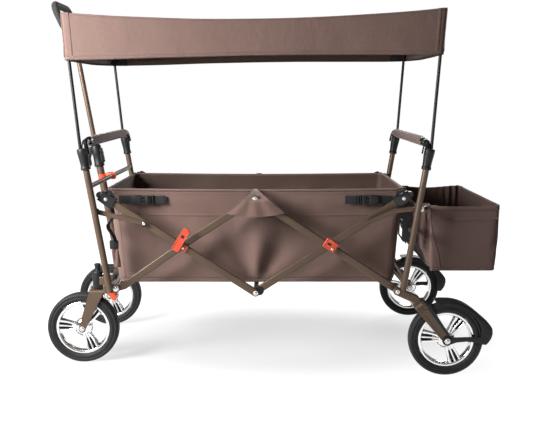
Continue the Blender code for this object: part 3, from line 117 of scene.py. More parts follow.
CROWN = Vector((REAR_AXLE.x, 0, REAR_AXLE.z)) - REAR_RUN * (span("rear_near_tyre").z / 2 + 0.014)
ARM_SLOPE = math.atan2(TOP_MIDDLE.z - REAR_CROSSING.z, REAR_CROSSING.x - TOP_MIDDLE.x)
POST_LEAN = radians(9.0)
DRAW_LEAN = radians(9.3)
WHEEL_RADIUS = span("rear_near_tyre").z / 2


def front_post_x(z):
    return LINK_NEAR.x - (z - LINK_NEAR.z) * math.tan(POST_LEAN)


def rear_post_x(z):
    return BAG_PIVOT.x + (z - LINK_NEAR.z) * math.tan(POST_LEAN)


def front_spot(z):
    return Vector((front_post_x(z), 0, z))


def between(table, place):
    """Values of a table at a place between its rows."""
    for (low, *first), (high, *second) in zip(table, table[1:]):
        if place <= high:
            share = max(0.0, (place - low) / (high - low))
            return [a + (b - a) * share for a, b in zip(first, second)]
    return list(table[-1][1:])


# Sizes and colours that can be changed

def length(name, text, default):
    return FloatProperty(name=name, description=text, default=default, min=0.0, unit="LENGTH", precision=5)


def colour(name, text, default):
    return FloatVectorProperty(name=name, description=text, default=default, size=3, subtype="COLOR", min=0.0,
        max=1.0)


class WagonColours(bpy.types.PropertyGroup):
    """Colours of the wagon's finishes."""
    bronze: colour("Bronze paint", "Painted tubes, arms and forks", (0.118, 0.076, 0.050))
    bronze_worn: colour("Worn bronze", "Where the paint is rubbed on its edges", (0.300, 0.220, 0.155))
    plastic: colour("Black plastic", "Hubs, sockets, housings and mudguards", (0.011, 0.011, 0.012))
    rubber: colour("Tyre rubber", "The four tyres", (0.017, 0.017, 0.0175))
    chrome: colour("Bright rim", "The plated wheel rims", (0.820, 0.815, 0.810))
    steel: colour("Zinc steel", "Bolts, rivets and axle ends", (0.700, 0.690, 0.670))
    red: colour("Red plastic", "Locks, swivel levers and the clip", (0.860, 0.085, 0.030))
    foam: colour("Foam", "The padded draw grip", (0.032, 0.031, 0.030))
    cloth: colour("Brown cloth", "Outside of the canopy, basket and bag", (0.222, 0.137, 0.113))
    lining: colour("Lining", "Coated inside of the cloth", (0.105, 0.062, 0.048))
    webbing: colour("Webbing", "Straps and bindings", (0.018, 0.018, 0.020))
    thread: colour("Thread", "Stitches", (0.150, 0.092, 0.076))


class WagonCloth(bpy.types.PropertyGroup):
    """Sizes of the wagon's sewn pieces."""
    weave: length("Weave", "Width of one thread of the cloth", 0.0007)
    sheet: length("Cloth thickness", "Thickness of the coated cloth", 0.0013)
    stitch: length("Stitch", "Length of one stitch", 0.0030)
    stitch_pitch: length("Stitch pitch", "From one stitch to the next", 0.0045)
    thread_radius: length("Thread radius", "Radius of the sewing thread", 0.00045)
    piping: length("Piping radius", "Radius of the piped rim", 0.0034)
    hem: length("Hem", "Height of the turned hem of the canopy", 0.0105)
    end_seam: length("End seam", "From the canopy's corner to its upright seam", 0.024)
    sag: length("Canopy sag", "How far the top hangs between the hoops", 0.021)
    basket_seam: length("Basket seam", "From the rim down to the level seam of the basket", 0.071)
    webbing_width: length("Webbing width", "Width of the straps", 0.022)
    webbing_thickness: length("Webbing thickness", "Thickness of the straps", 0.0018)


class WagonMetal(bpy.types.PropertyGroup):
    """Sizes of the wagon's tubes, bars and bolts."""
    post_radius: length("Post radius", "Radius of the four upright tubes", 0.0085)
    arm_height: length("Arm height", "Height of the folding arms", 0.020)
    arm_thickness: length("Arm thickness", "Thickness of the folding arms", 0.010)
    arm_corner: length("Arm corner", "Rounding of the arms' edges", 0.0034)
    link_height: length("Link height", "Height of the front links", 0.013)
    fork_sheet: length("Fork sheet", "Thickness of the stamped forks", 0.0026)
    bolt_radius: length("Bolt radius", "Radius of the bolt heads", 0.0062)
    hoop_radius: length("Hoop radius", "Radius of the canopy's wire hoops", 0.0042)
    tube_sides: IntProperty(name="Tube sides", description="Faces round a tube", default=32, min=8)


class WagonWheels(bpy.types.PropertyGroup):
    """Sizes of the wheels."""
    spokes: IntProperty(name="Spokes", description="Spokes of each rim", default=3, min=2)
    first_spoke: FloatProperty(name="First spoke", description="Heading of the first spoke",
        default=radians(54), subtype="ANGLE")
    bar_width: length("Spoke bar width", "Width of one bar of a spoke", 0.0062)
    bar_depth: length("Spoke bar depth", "Depth of one bar of a spoke", 0.0070)
    lip: length("Rim lip", "Width of the bright lip of the rim", 0.0080)
    groove: length("Tyre groove", "Depth of the rings in the tyre's side", 0.0009)
    turned_sides: IntProperty(name="Turned sides", description="Faces round a wheel", default=96, min=24)


class WagonStage(bpy.types.PropertyGroup):
    """Camera, lamps and floor."""
    camera_x: FloatProperty(name="Camera X", description="Camera place along the wagon", default=0.0166,
        unit="LENGTH")
    camera_y: FloatProperty(name="Camera Y", description="Camera place in front of the wagon",
        default=-2.2605, unit="LENGTH")
    camera_z: FloatProperty(name="Camera height", description="Camera height over the floor", default=0.745,
        unit="LENGTH")
    camera_pitch: FloatProperty(name="Camera pitch", description="How far the camera looks down",
        default=radians(9.03), subtype="ANGLE")
    lens: FloatProperty(name="Lens", description="Focal length on a 36 mm sensor, in millimetres",
        default=49.8, min=1.0)
    key_power: FloatProperty(name="Key lamp", description="Power of the soft box at the front left",
        default=40.0, unit="POWER")
    top_power: FloatProperty(name="Top lamp", description="Power of the soft box overhead", default=9.0,
        unit="POWER")
    back_power: FloatProperty(name="Back lamp", description="Power of the soft box behind the wagon",
        default=34.0, unit="POWER")
    card_power: FloatProperty(name="Card lamp",
        description="Power of the wide card in front, seen in the rims", default=5.0, unit="POWER")
    ambient: FloatProperty(name="Ambient", description="Strength of the room's even light", default=0.020)
    reflected: FloatProperty(name="Reflected room", description="Strength of the room in reflections",
        default=0.20)
    # The floor's glow near the wagon. It is lower than the white far off, so it paints shade on the floor
    # round the wagon.
    floor_glow: FloatProperty(name="Floor glow",
        description="Light of the floor itself, as the camera sees it", default=0.63)
    floor: colour("Floor", "Colour of the floor", (0.30, 0.30, 0.30))


# Mesh helpers

def rounded_path(points, bend, steps=6):
    """The centreline of a bent tube, with each corner turned on a bend."""
    points = [Vector(point) for point in points]
    path = [points[0]]
    for before, corner, after in zip(points, points[1:], points[2:]):
        way_in = (before - corner).normalized()
        way_out = (after - corner).normalized()
        opening = way_in.angle(way_out)
        if opening > radians(179):
            path.append(corner)
            continue
        reach = min(bend / math.tan(opening / 2), 0.49 * (before - corner).length,
            0.49 * (after - corner).length)
        radius = reach * math.tan(opening / 2)
        centre = corner + (way_in + way_out).normalized() * radius / sin(opening / 2)
        first = (corner + way_in * reach - centre).normalized()
        last = (corner + way_out * reach - centre).normalized()
        for step in range(steps + 1):
            path.append(centre + first.slerp(last, step / steps) * radius)
    path.append(points[-1])
    return path


def resampled(points, count, closed=False):
    """Evenly spaced points along a line."""
    points = [Vector(point) for point in points]
    line = points + [points[0]] if closed else points
    marks = [0.0]
    for a, b in zip(line, line[1:]):
        marks.append(marks[-1] + (b - a).length)
    spread = []
    place = 0
    for number in range(count):
        want = marks[-1] * number / (count if closed else count - 1)
        while place < len(marks) - 2 and marks[place + 1] < want:
            place += 1
        share = (want - marks[place]) / max(marks[place + 1] - marks[place], 1e-9)
        spread.append(line[place].lerp(line[place + 1], min(1.0, share)))
    return spread


def line_length(points):
    return sum((Vector(b) - Vector(a)).length for a, b in zip(points, points[1:]))


def arc(centre, radius, start, end, steps):
    """Points on an arc in a plane, with the angles in degrees."""
    points = []
    for step in range(steps + 1):
        angle = radians(start + (end - start) * step / steps)
        points.append((centre[0] + radius * cos(angle), centre[1] + radius * sin(angle)))
    return points


def round_section(radius, sides):
    return [(radius * cos(2 * pi * step / sides), radius * sin(2 * pi * step / sides))
        for step in range(sides)]


def bar_section(width, height, corner):
    """A rounded rectangle, with its width first."""
    section = []
    for x, y, start in ((1, 1, 0), (-1, 1, 90), (-1, -1, 180), (1, -1, 270)):
        section += arc((x * (width / 2 - corner), y * (height / 2 - corner)), corner, start, start + 90, 3)
    return section


def bar_outline(points, halves, steps=12):
    """The outline of a bar with round ends that follows the points in a plane."""
    points = [Vector(point) for point in points]
    if not isinstance(halves, (list, tuple)):
        halves = [halves] * len(points)
    headings = [(b - a).normalized() for a, b in zip(points, points[1:])]
    left, right = [], []
    for index in range(1, len(points) - 1):
        ahead = (headings[index - 1] + headings[index]).normalized()
        side = Vector((-ahead.y, ahead.x)) * halves[index] / max(0.5, ahead.dot(headings[index]))
        left.append(points[index] + side)
        right.append(points[index] - side)
    first = math.degrees(math.atan2(headings[0].y, headings[0].x))
    last = math.degrees(math.atan2(headings[-1].y, headings[-1].x))
    outline = [Vector(p) for p in arc(points[-1], halves[-1], last - 90, last + 90, steps)]
    outline += left[::-1]
    outline += [Vector(p) for p in arc(points[0], halves[0], first + 90, first + 270, steps)]
    return outline + right


def skin(shape, rows, around=False, wrap=False, capped=False):
    """Faces through rows of points, with texture coordinates in metres."""
    layer = shape.loops.layers.uv.verify()
    rows = [[Vector(point) for point in row] for row in rows]
    grid = [[shape.verts.new(point) for point in row] for row in rows]
    width = len(rows[0])
    along, across = [0.0], [0.0]
    reference = rows[len(rows) // 2]
    for a, b in zip(reference, reference[1:] + reference[:1]):
        along.append(along[-1] + (b - a).length)
    for a, b in zip(rows, rows[1:] + rows[:1]):
        across.append(across[-1] + (b[width // 2] - a[width // 2]).length)
    for i in range(len(rows) - (0 if wrap else 1)):
        upper, lower = grid[i], grid[(i + 1) % len(rows)]
        for j in range(width - (0 if around else 1)):
            k = (j + 1) % width
            face = shape.faces.new((upper[j], upper[k], lower[k], lower[j]))
            marks = ((along[j], across[i]), (along[j + 1], across[i]), (along[j + 1], across[i + 1]),
                (along[j], across[i + 1]))
            for loop, mark in zip(face.loops, marks):
                loop[layer].uv = mark
    if capped:
        for ring in (grid[0][::-1], grid[-1]):
            shape.faces.new(ring)


def sweep(shape, path, section, up=None, closed=False, scales=None):
    """Carries a section along a path. Its first measure runs sideways, its second along up."""
    path = [Vector(point) for point in path]
    count = len(path)
    tangents = []
    for index in range(count):
        before = path[index - 1] if index or closed else path[index]
        after = path[(index + 1) % count] if index < count - 1 or closed else path[index]
        tangents.append((after - before).normalized())
    lift = Vector(up) if up is not None else tangents[0].orthogonal().normalized()
    rows = []
    for index, tangent in enumerate(tangents):
        if up is None and index:
            lift = tangents[index - 1].rotation_difference(tangent) @ lift
        side = tangent.cross(lift).normalized()
        normal = side.cross(tangent)
        scale = scales[index] if scales else 1.0
        rows.append([path[index] + side * a * scale + normal * b * scale for a, b in section])
    skin(shape, rows, around=True, wrap=closed, capped=not closed)


def lathe(shape, profile, centre, axis, steps, closed=True):
    """Turns a profile of (radius, place along the axis) about an axis."""
    axis = Vector(axis).normalized()
    side = axis.orthogonal().normalized()
    other = axis.cross(side)
    rows = []
    for radius, place in profile:
        ring = []
        for step in range(steps):
            angle = 2 * pi * step / steps
            spoke = side * cos(angle) + other * sin(angle)
            ring.append(Vector(centre) + axis * place + spoke * max(radius, 0.0))
        rows.append(ring)
    skin(shape, rows, around=True, wrap=closed)


def add_in(shape, other, matrix=None):
    """Adds one mesh under construction to another."""
    if matrix is not None:
        bmesh.ops.transform(other, matrix=matrix, verts=other.verts)
    mesh = bpy.data.meshes.new("joined")
    other.to_mesh(mesh)
    other.free()
    shape.from_mesh(mesh)
    bpy.data.meshes.remove(mesh)


def slab(shape, outline, y, thickness, bevel=0.0, segments=3):
    """A plate that stands along X and Z, with rounded edges."""
    plate = bmesh.new()
    sides = []
    for place in (y - thickness / 2, y + thickness / 2):
        sides.append([plate.verts.new((point[0], place, point[1])) for point in outline])
    faces = [plate.faces.new(sides[0]), plate.faces.new(sides[1][::-1])]
    count = len(outline)
    for a in range(count):
        b = (a + 1) % count
        plate.faces.new((sides[0][b], sides[0][a], sides[1][a], sides[1][b]))
    bmesh.ops.recalc_face_normals(plate, faces=plate.faces)
    if bevel:
        edges = list({edge for face in faces for edge in face.edges})
        bmesh.ops.bevel(plate, geom=edges, offset=bevel, offset_type="OFFSET", segments=segments, profile=0.5,
            affect="EDGES", clamp_overlap=True)
    add_in(shape, plate)


def brick(shape, centre, size, bevel, matrix=None):
    """A box with rounded edges, turned by a matrix about its centre."""
    body = bmesh.new()
    bmesh.ops.create_cube(body, size=1.0, matrix=Matrix.Diagonal((*size, 1.0)))
    bmesh.ops.bevel(body, geom=list(body.edges), offset=bevel, offset_type="OFFSET", segments=3, profile=0.5,
        affect="EDGES", clamp_overlap=True)
    add_in(shape, body, Matrix.Translation(centre) @ (matrix or Matrix.Identity(4)))


def bolt_head(shape, centre, axis, radius, height=0.0035, washer=True):
    """A domed bolt head with its washer and a small recess."""
    profile = [(0.0, height * 0.72), (radius * 0.28, height * 0.72), (radius * 0.34, height)]
    for step in range(1, 6):
        angle = radians(90 * step / 5)
        profile.append((radius * (0.34 + 0.66 * sin(angle)), height * (0.35 + 0.65 * cos(angle))))
    if washer:
        profile += [(radius * 1.28, height * 0.35), (radius * 1.34, height * 0.2), (radius * 1.34, 0.0)]
    profile.append((0.0, 0.0))
    lathe(shape, profile, centre, axis, 24, closed=False)


def barrel(flat, radius, half, shoulder):
    """Profile of a short round pin: its end faces, then the full radius between its shoulders."""
    rows = [(0.0, half), (flat, half), (radius, shoulder)]
    return rows + [(reach, -place) for reach, place in rows[::-1]]


def nearest(ring, x, y):
    """Number of the ring's point that stands closest to a place in plan."""
    return min(range(len(ring)), key=lambda i: (ring[i] - Vector((x, y, ring[i].z))).length)


def make(name, shape, finish, body, stands_for=(), smooth=38.0, lining=None):
    """Turns a mesh under construction into a finished piece that rides on its body."""
    bmesh.ops.remove_doubles(shape, verts=shape.verts, dist=0.000002)
    bmesh.ops.recalc_face_normals(shape, faces=shape.faces)
    mesh = bpy.data.meshes.new(name)
    shape.to_mesh(mesh)
    shape.free()
    mesh.shade_smooth()
    mesh.set_sharp_from_angle(angle=radians(smooth))
    item = bpy.data.objects.new(name, mesh)
    bpy.context.scene.collection.objects.link(item)
    mesh.materials.append(FINISHES[finish]())
    if lining:
        mesh.materials.append(FINISHES[lining]())
    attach(item, body)
    if stands_for:
        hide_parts(*stands_for)
    return item


def bolt(name, body, centre, side, radius, height=0.0035, washer=True):
    """A zinc bolt head that looks out along Y."""
    shape = bmesh.new()
    bolt_head(shape, centre, (0, side, 0), radius, height, washer)
    make(name, shape, "steel", body)


def thicken(item, thickness, offset=-1.0, lined=True):
    solid = item.modifiers.new("cloth", "SOLIDIFY")
    solid.thickness = thickness
    solid.offset = offset
    if lined:
        solid.material_offset = 1
    return item


def stitched(shape, path, outward, sizes):
    """A row of stitches along a path, raised on the side that outward gives for a point."""
    total = line_length(path)
    count = max(2, int(total / sizes.stitch_pitch))
    marks = resampled(path, count * 2 + 1)
    section = round_section(sizes.thread_radius, 5)
    for index in range(count):
        start, end = marks[2 * index], marks[2 * index + 1]
        centre = (start + end) / 2
        reach = (end - start).normalized() * sizes.stitch / 2
        lift = outward(centre)
        bow = [centre - reach, centre - reach * 0.6 + lift * sizes.thread_radius,
            centre + reach * 0.6 + lift * sizes.thread_radius, centre + reach]
        sweep(shape, bow, section, scales=[0.5, 1.0, 1.0, 0.5])


# Finishes

DUST_ON_PAINT = (0.42, 0.39, 0.36)
DUST_ON_CLOTH = (0.40, 0.34, 0.31)
FINISH_CACHE = {}
GROUP_CACHE = {}


def fill(tree, node, inputs):
    """Sets a node's inputs to values, or joins them to sockets."""
    for key, value in inputs.items():
        if isinstance(value, bpy.types.NodeSocket):
            tree.links.new(value, node.inputs[key])
        else:
            node.inputs[key].default_value = value
    return node


def add(tree, kind, inputs=None, **settings):
    node = tree.nodes.new(kind)
    for key, value in settings.items():
        setattr(node, key, value)
    return fill(tree, node, inputs or {})


def times(tree, a, b):
    return add(tree, "ShaderNodeMath", {0: a, 1: b}, operation="MULTIPLY").outputs["Value"]


def open_group(name, inputs, outputs):
    """An empty node group with its sockets. Returns the group, its inputs and its outputs."""
    group = bpy.data.node_groups.new(name, "ShaderNodeTree")
    for label, value in inputs:
        group.interface.new_socket(name=label, in_out="INPUT",
            socket_type="NodeSocketFloat").default_value = value
    for label in outputs:
        group.interface.new_socket(name=label, in_out="OUTPUT", socket_type="NodeSocketFloat")
    entry = group.nodes.new("NodeGroupInput")
    leave = group.nodes.new("NodeGroupOutput")
    return group, entry.outputs, leave.inputs


def mottle_group():
    """Slow cloudy variation over a surface."""
    group, given, result = open_group("cloudy_tone", [("Scale", 14.0), ("Detail", 3.0)], ["Tone"])
    place = add(group, "ShaderNodeTexCoord").outputs["Object"]
    cloud = add(group, "ShaderNodeTexNoise", {"Roughness": 0.55, "Vector": place, "Scale": given["Scale"],
        "Detail": given["Detail"]})
    spread = add(group, "ShaderNodeMapRange", {"From Min": 0.30, "From Max": 0.70,
        "Value": cloud.outputs["Fac"]})
    group.links.new(spread.outputs["Result"], result["Tone"])
    return group


def grain_group():
    """Fine moulded or sprayed grain."""
    group, given, result = open_group("fine_grain", [("Scale", 900.0), ("Pits", 0.3)], ["Height"])
    place = add(group, "ShaderNodeTexCoord").outputs["Object"]
    grain = add(group, "ShaderNodeTexNoise", {"Detail": 2.0, "Roughness": 0.6, "Vector": place,
        "Scale": given["Scale"]})
    pits = add(group, "ShaderNodeTexVoronoi", {"Vector": place, "Scale": given["Scale"]}, feature="F1")
    blend = add(group, "ShaderNodeMix", {"Factor": given["Pits"], "A": grain.outputs["Fac"],
        "B": pits.outputs["Distance"]}, data_type="FLOAT")
    group.links.new(blend.outputs["Result"], result["Height"])
    return group


def wear_group():
    """Rubbed edges, broken up by noise."""
    group, given, result = open_group("edge_wear", [("Amount", 0.5), ("Scale", 60.0)], ["Mask"])
    place = add(group, "ShaderNodeTexCoord").outputs["Object"]
    shape = add(group, "ShaderNodeNewGeometry")
    edge = add(group, "ShaderNodeMapRange", {"From Min": 0.515, "From Max": 0.60,
        "Value": shape.outputs["Pointiness"]})
    patch = add(group, "ShaderNodeTexNoise", {"Detail": 4.0, "Vector": place, "Scale": given["Scale"]})
    broken = add(group, "ShaderNodeMapRange", {"From Min": 0.42, "From Max": 0.62,
        "Value": patch.outputs["Fac"]})
    both = times(group, edge.outputs["Result"], broken.outputs["Result"])
    group.links.new(times(group, both, given["Amount"]), result["Mask"])
    return group


def dust_group():
    """Light dust on faces that look up."""
    group, given, result = open_group("settled_dust", [("Amount", 0.2)], ["Mask"])
    shape = add(group, "ShaderNodeNewGeometry")
    parts = add(group, "ShaderNodeSeparateXYZ", {"Vector": shape.outputs["Normal"]})
    upward = add(group, "ShaderNodeMapRange", {"From Min": 0.35, "From Max": 1.0,
        "Value": parts.outputs["Z"]})
    place = add(group, "ShaderNodeTexCoord").outputs["Object"]
    patch = add(group, "ShaderNodeTexNoise", {"Scale": 26.0, "Detail": 5.0, "Vector": place})
    both = times(group, upward.outputs["Result"], patch.outputs["Fac"])
    group.links.new(times(group, both, given["Amount"]), result["Mask"])
    return group


def weave_group():
    """Over-and-under weave of threads, from texture coordinates in metres."""
    group, given, result = open_group("plain_weave", [("Thread", 0.0007), ("Slub", 0.25)], ["Tone", "Height"])
    place = add(group, "ShaderNodeTexCoord").outputs["UV"]
    parts = add(group, "ShaderNodeSeparateXYZ", {"Vector": place})
    waves = []
    for axis in ("X", "Y"):
        count = add(group, "ShaderNodeMath", {0: parts.outputs[axis], 1: given["Thread"]}, operation="DIVIDE")
        turn = times(group, count.outputs["Value"], pi)
        waves.append(add(group, "ShaderNodeMath", {0: turn}, operation="SINE").outputs["Value"])
    level = add(group, "ShaderNodeMapRange", {"From Min": -1.0, "From Max": 1.0,
        "Value": times(group, *waves)})
    slub = add(group, "ShaderNodeTexNoise", {"Scale": 420.0, "Detail": 2.0, "Vector": place})
    mixed = add(group, "ShaderNodeMix", {"Factor": given["Slub"], "A": level.outputs["Result"],
        "B": slub.outputs["Fac"]}, data_type="FLOAT")
    group.links.new(mixed.outputs["Result"], result["Tone"])
    group.links.new(level.outputs["Result"], result["Height"])
    return group


GROUPS = {"mottle": mottle_group, "grain": grain_group, "wear": wear_group, "dust": dust_group,
    "weave": weave_group}


def place_group(tree, name, **values):
    if name not in GROUP_CACHE:
        GROUP_CACHE[name] = GROUPS[name]()
    node = tree.nodes.new("ShaderNodeGroup")
    node.node_tree = GROUP_CACHE[name]
    return fill(tree, node, values)


def blank_material(name):
    material = bpy.data.materials.new(name)
    material.use_nodes = True
    return material, material.node_tree, material.node_tree.nodes["Principled BSDF"]


def shaded(base, factor):
    return tuple(min(1.0, part * factor) for part in base)


def colour_mix(tree, factor, a, b):
    """Mixes two colours or colour sockets and returns the socket."""
    sides = [(*value, 1.0) if isinstance(value, tuple) else value for value in (a, b)]
    return add(tree, "ShaderNodeMix", {"Factor": factor, 6: sides[0], 7: sides[1]},
        data_type="RGBA").outputs[2]


def hard_finish(name, base, roughness, metallic=0.0, spread=0.12, tone_scale=14.0, roughness_spread=0.06,
        grain_scale=900.0, grain_depth=0.00006, pits=0.3, worn=None, wear=0.5, dust=0.12, coat=0.0,
        specular=0.5):
    """A painted, plated or moulded surface."""
    material, tree, shader = blank_material(name)
    tone = place_group(tree, "mottle", Scale=tone_scale).outputs["Tone"]
    mixed = colour_mix(tree, tone, shaded(base, 1 - spread), shaded(base, 1 + spread))
    if worn is not None:
        mixed = colour_mix(tree, place_group(tree, "wear", Amount=wear).outputs["Mask"], mixed, tuple(worn))
    if dust:
        mixed = colour_mix(tree, place_group(tree, "dust", Amount=dust).outputs["Mask"], mixed, DUST_ON_PAINT)
    rough = add(tree, "ShaderNodeMapRange", {"To Min": max(0.02, roughness - roughness_spread),
        "To Max": roughness + roughness_spread, "Value": tone})
    grain = place_group(tree, "grain", Scale=grain_scale, Pits=pits)
    bump = add(tree, "ShaderNodeBump", {"Distance": grain_depth, "Strength": 1.0,
        "Height": grain.outputs["Height"]})
    fill(tree, shader, {"Base Color": mixed, "Roughness": rough.outputs["Result"], "Metallic": metallic,
        "Specular IOR Level": specular, "Normal": bump.outputs["Normal"]})
    if coat:
        fill(tree, shader, {"Coat Weight": coat, "Coat Roughness": 0.18})
    return material


def cloth_finish(name, base, thread, roughness=0.78, contrast=0.22, sheen=0.35, depth=0.00022, slub=0.3,
        dust=0.0):
    """Woven cloth or webbing."""
    material, tree, shader = blank_material(name)
    weave = place_group(tree, "weave", Thread=thread, Slub=slub)
    tone = place_group(tree, "mottle", Scale=9.0, Detail=4.0).outputs["Tone"]
    woven = colour_mix(tree, weave.outputs["Tone"], shaded(base, 1 - contrast), shaded(base, 1 + contrast))
    cloudy = colour_mix(tree, tone, (0.92, 0.92, 0.92), (1.0, 1.0, 1.0))
    mixed = add(tree, "ShaderNodeMix", {"Factor": 1.0, 6: woven, 7: cloudy}, data_type="RGBA",
        blend_type="MULTIPLY").outputs[2]
    if dust:
        mixed = colour_mix(tree, place_group(tree, "dust", Amount=dust).outputs["Mask"], mixed, DUST_ON_CLOTH)
    rough = add(tree, "ShaderNodeMapRange", {"To Min": roughness - 0.05, "To Max": roughness + 0.07,
        "Value": tone})
    crumple = place_group(tree, "mottle", Scale=70.0, Detail=5.0)
    soft = add(tree, "ShaderNodeBump", {"Distance": 0.0007, "Strength": 0.6,
        "Height": crumple.outputs["Tone"]})
    fine = add(tree, "ShaderNodeBump", {"Distance": depth, "Strength": 0.9, "Height": weave.outputs["Height"],
        "Normal": soft.outputs["Normal"]})
    fill(tree, shader, {"Base Color": mixed, "Roughness": rough.outputs["Result"], "Sheen Weight": sheen,
        "Sheen Roughness": 0.45, "Specular IOR Level": 0.35, "Normal": fine.outputs["Normal"]})
    return material


def kept(name, build):
    """Makes a finish once and gives the same one to every piece."""
    def give():
        if name not in FINISH_CACHE:
            FINISH_CACHE[name] = build(bpy.context.scene.wagon_colours)
        return FINISH_CACHE[name]
    return give


FINISHES = {
    "bronze": kept("bronze", lambda c: hard_finish(
        "bronze_paint", c.bronze, 0.40, 0.25, worn=c.bronze_worn, wear=0.06, coat=0.12, grain_scale=1500.0,
        grain_depth=0.00003, dust=0.01, specular=0.35)),
    "plastic": kept("plastic", lambda c: hard_finish(
        "black_plastic", c.plastic, 0.46, spread=0.20, worn=(0.045, 0.045, 0.047), wear=0.35,
        grain_scale=1300.0, grain_depth=0.00010, dust=0.04, specular=0.32)),
    "wire": kept("wire", lambda c: hard_finish(
        "hoop_wire", c.plastic, 0.40, spread=0.05, grain_depth=0.00001, dust=0.0, specular=0.30)),
    "gloss": kept("gloss", lambda c: hard_finish(
        "gloss_black_plastic", c.plastic, 0.26, spread=0.15, grain_depth=0.00003, dust=0.03, specular=0.45)),
    "rubber": kept("rubber", lambda c: hard_finish(
        "tyre_rubber", c.rubber, 0.62, spread=0.25, tone_scale=30.0, worn=(0.060, 0.059, 0.057), wear=0.3,
        grain_scale=700.0, grain_depth=0.00016, pits=0.5, dust=0.06, specular=0.35)),
    "chrome": kept("chrome", lambda c: hard_finish(
        "plated_rim", c.chrome, 0.13, 1.0, spread=0.04, tone_scale=35.0, roughness_spread=0.05,
        grain_depth=0.00001, dust=0.0)),
    "steel": kept("steel", lambda c: hard_finish(
        "zinc_steel", c.steel, 0.27, 1.0, spread=0.10, tone_scale=120.0, roughness_spread=0.08,
        grain_depth=0.00003, dust=0.0)),
    "red": kept("red", lambda c: hard_finish(
        "red_plastic", c.red, 0.36, spread=0.10, worn=(0.92, 0.24, 0.14), wear=0.5, grain_depth=0.00005,
        dust=0.05, coat=0.15)),
    "foam": kept("foam", lambda c: hard_finish(
        "black_foam", c.foam, 0.80, spread=0.30, tone_scale=60.0, grain_scale=520.0, grain_depth=0.00050,
        pits=0.7, dust=0.25)),
    "cloth": kept("cloth", lambda c: cloth_finish(
        "brown_cloth", c.cloth, bpy.context.scene.wagon_cloth.weave, dust=0.05)),
    "lining": kept("lining", lambda c: cloth_finish(
        "coated_lining", c.lining, bpy.context.scene.wagon_cloth.weave, roughness=0.60, contrast=0.12,
        sheen=0.1, depth=0.00008)),
    "webbing": kept("webbing", lambda c: cloth_finish(
        "black_webbing", c.webbing, 0.0011, roughness=0.70, contrast=0.45, sheen=0.25, depth=0.0004,
        slub=0.15)),
    "thread": kept("thread", lambda c: hard_finish(
        "sewing_thread", c.thread, 0.70, spread=0.2, grain_scale=2500.0, grain_depth=0.0001, dust=0.0)),
}


# The painted frames

def build_end_frames(metal):
    """The leaning posts, cross members, legs and lugs of both end frames."""
    section = round_section(metal.post_radius, metal.tube_sides)
    foot = REAR_FOOT.z - 0.004
    post_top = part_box("front_frame")[1].z
    member_z = REAR_FOOT.z + 0.006
    member_x = front_post_x(member_z) - 0.011
    for label, side in NEAR_AND_FAR:
        y = side * POST_Y
        for end, post_x in (("front", front_post_x), ("rear", rear_post_x)):
            shape = bmesh.new()
            sweep(shape, [(post_x(foot), y, foot), (post_x(post_top), y, post_top)], section)
            make(f"{end}_post_{label}", shape, "bronze", f"{end}_end", [f"{end}_frame"])
        shape = bmesh.new()
        slab(shape, bar_outline([(FRONT_FOOT.x, FRONT_FOOT.z), (member_x, member_z)], 0.0115),
            side * (OUTER_ARM_Y - 0.0058), 0.004, 0.0012)
        reach = member_x - SWIVEL.x - 0.006
        brick(shape, (member_x - reach / 2, side * CASTER_Y, member_z), (reach, 0.031, 0.024), 0.003)
        make(f"front_lug_{label}", shape, "bronze", "front_end")
        shape = bmesh.new()
        slab(shape, bar_outline([(REAR_FOOT.x, REAR_FOOT.z), (KNEE.x, KNEE.z), (CROWN.x, CROWN.z)],
            [0.0102, 0.0112, 0.0125]), side * LEG_Y, 0.020, 0.0035, 4)
        sweep(shape, [KNEE + ACROSS * y, CROWN + ACROSS * y], section)
        make(f"rear_leg_{label}", shape, "bronze", "rear_end")
        bolt(f"rear_foot_bolt_{label}", "rear_lower_arms", (REAR_FOOT.x, side * (LEG_Y + 0.0101),
            REAR_FOOT.z), side, 0.0045, 0.003)
    shape = bmesh.new()
    brick(shape, (member_x, 0, member_z), (0.014, 2 * POST_Y + 0.004, 0.024), 0.0035)
    for side in (-1, 1):
        slab(shape, bar_outline([(DRAW_PIVOT.x, DRAW_PIVOT.z), (member_x, member_z)], 0.011), side * 0.0128,
            0.003, 0.0008)
    make("front_member", shape, "bronze", "front_end")
    shape = bmesh.new()
    bar = front_spot(CROSSBAR_Z)
    sweep(shape, [bar - ACROSS * POST_Y, bar + ACROSS * POST_Y], bar_section(0.011, 0.012, 0.0040), up=UP)
    make("front_crossbar", shape, "bronze", "front_end")
    shape = bmesh.new()
    for z, radius in ((REAR_FOOT.z + 0.028, 0.0075), (BAG_PIVOT.z - 0.061, 0.0065)):
        tie = Vector((rear_post_x(z), 0, z))
        sweep(shape, [tie - ACROSS * POST_Y, tie + ACROSS * POST_Y], round_section(radius, 24))
    make("rear_ties", shape, "bronze", "rear_end")


# The folding arms, hubs and links

def arm_shape(points, y, metal):
    shape = bmesh.new()
    slab(shape, bar_outline(points, metal.arm_height / 2, 16), y, metal.arm_thickness, metal.arm_corner, 4)
    return shape


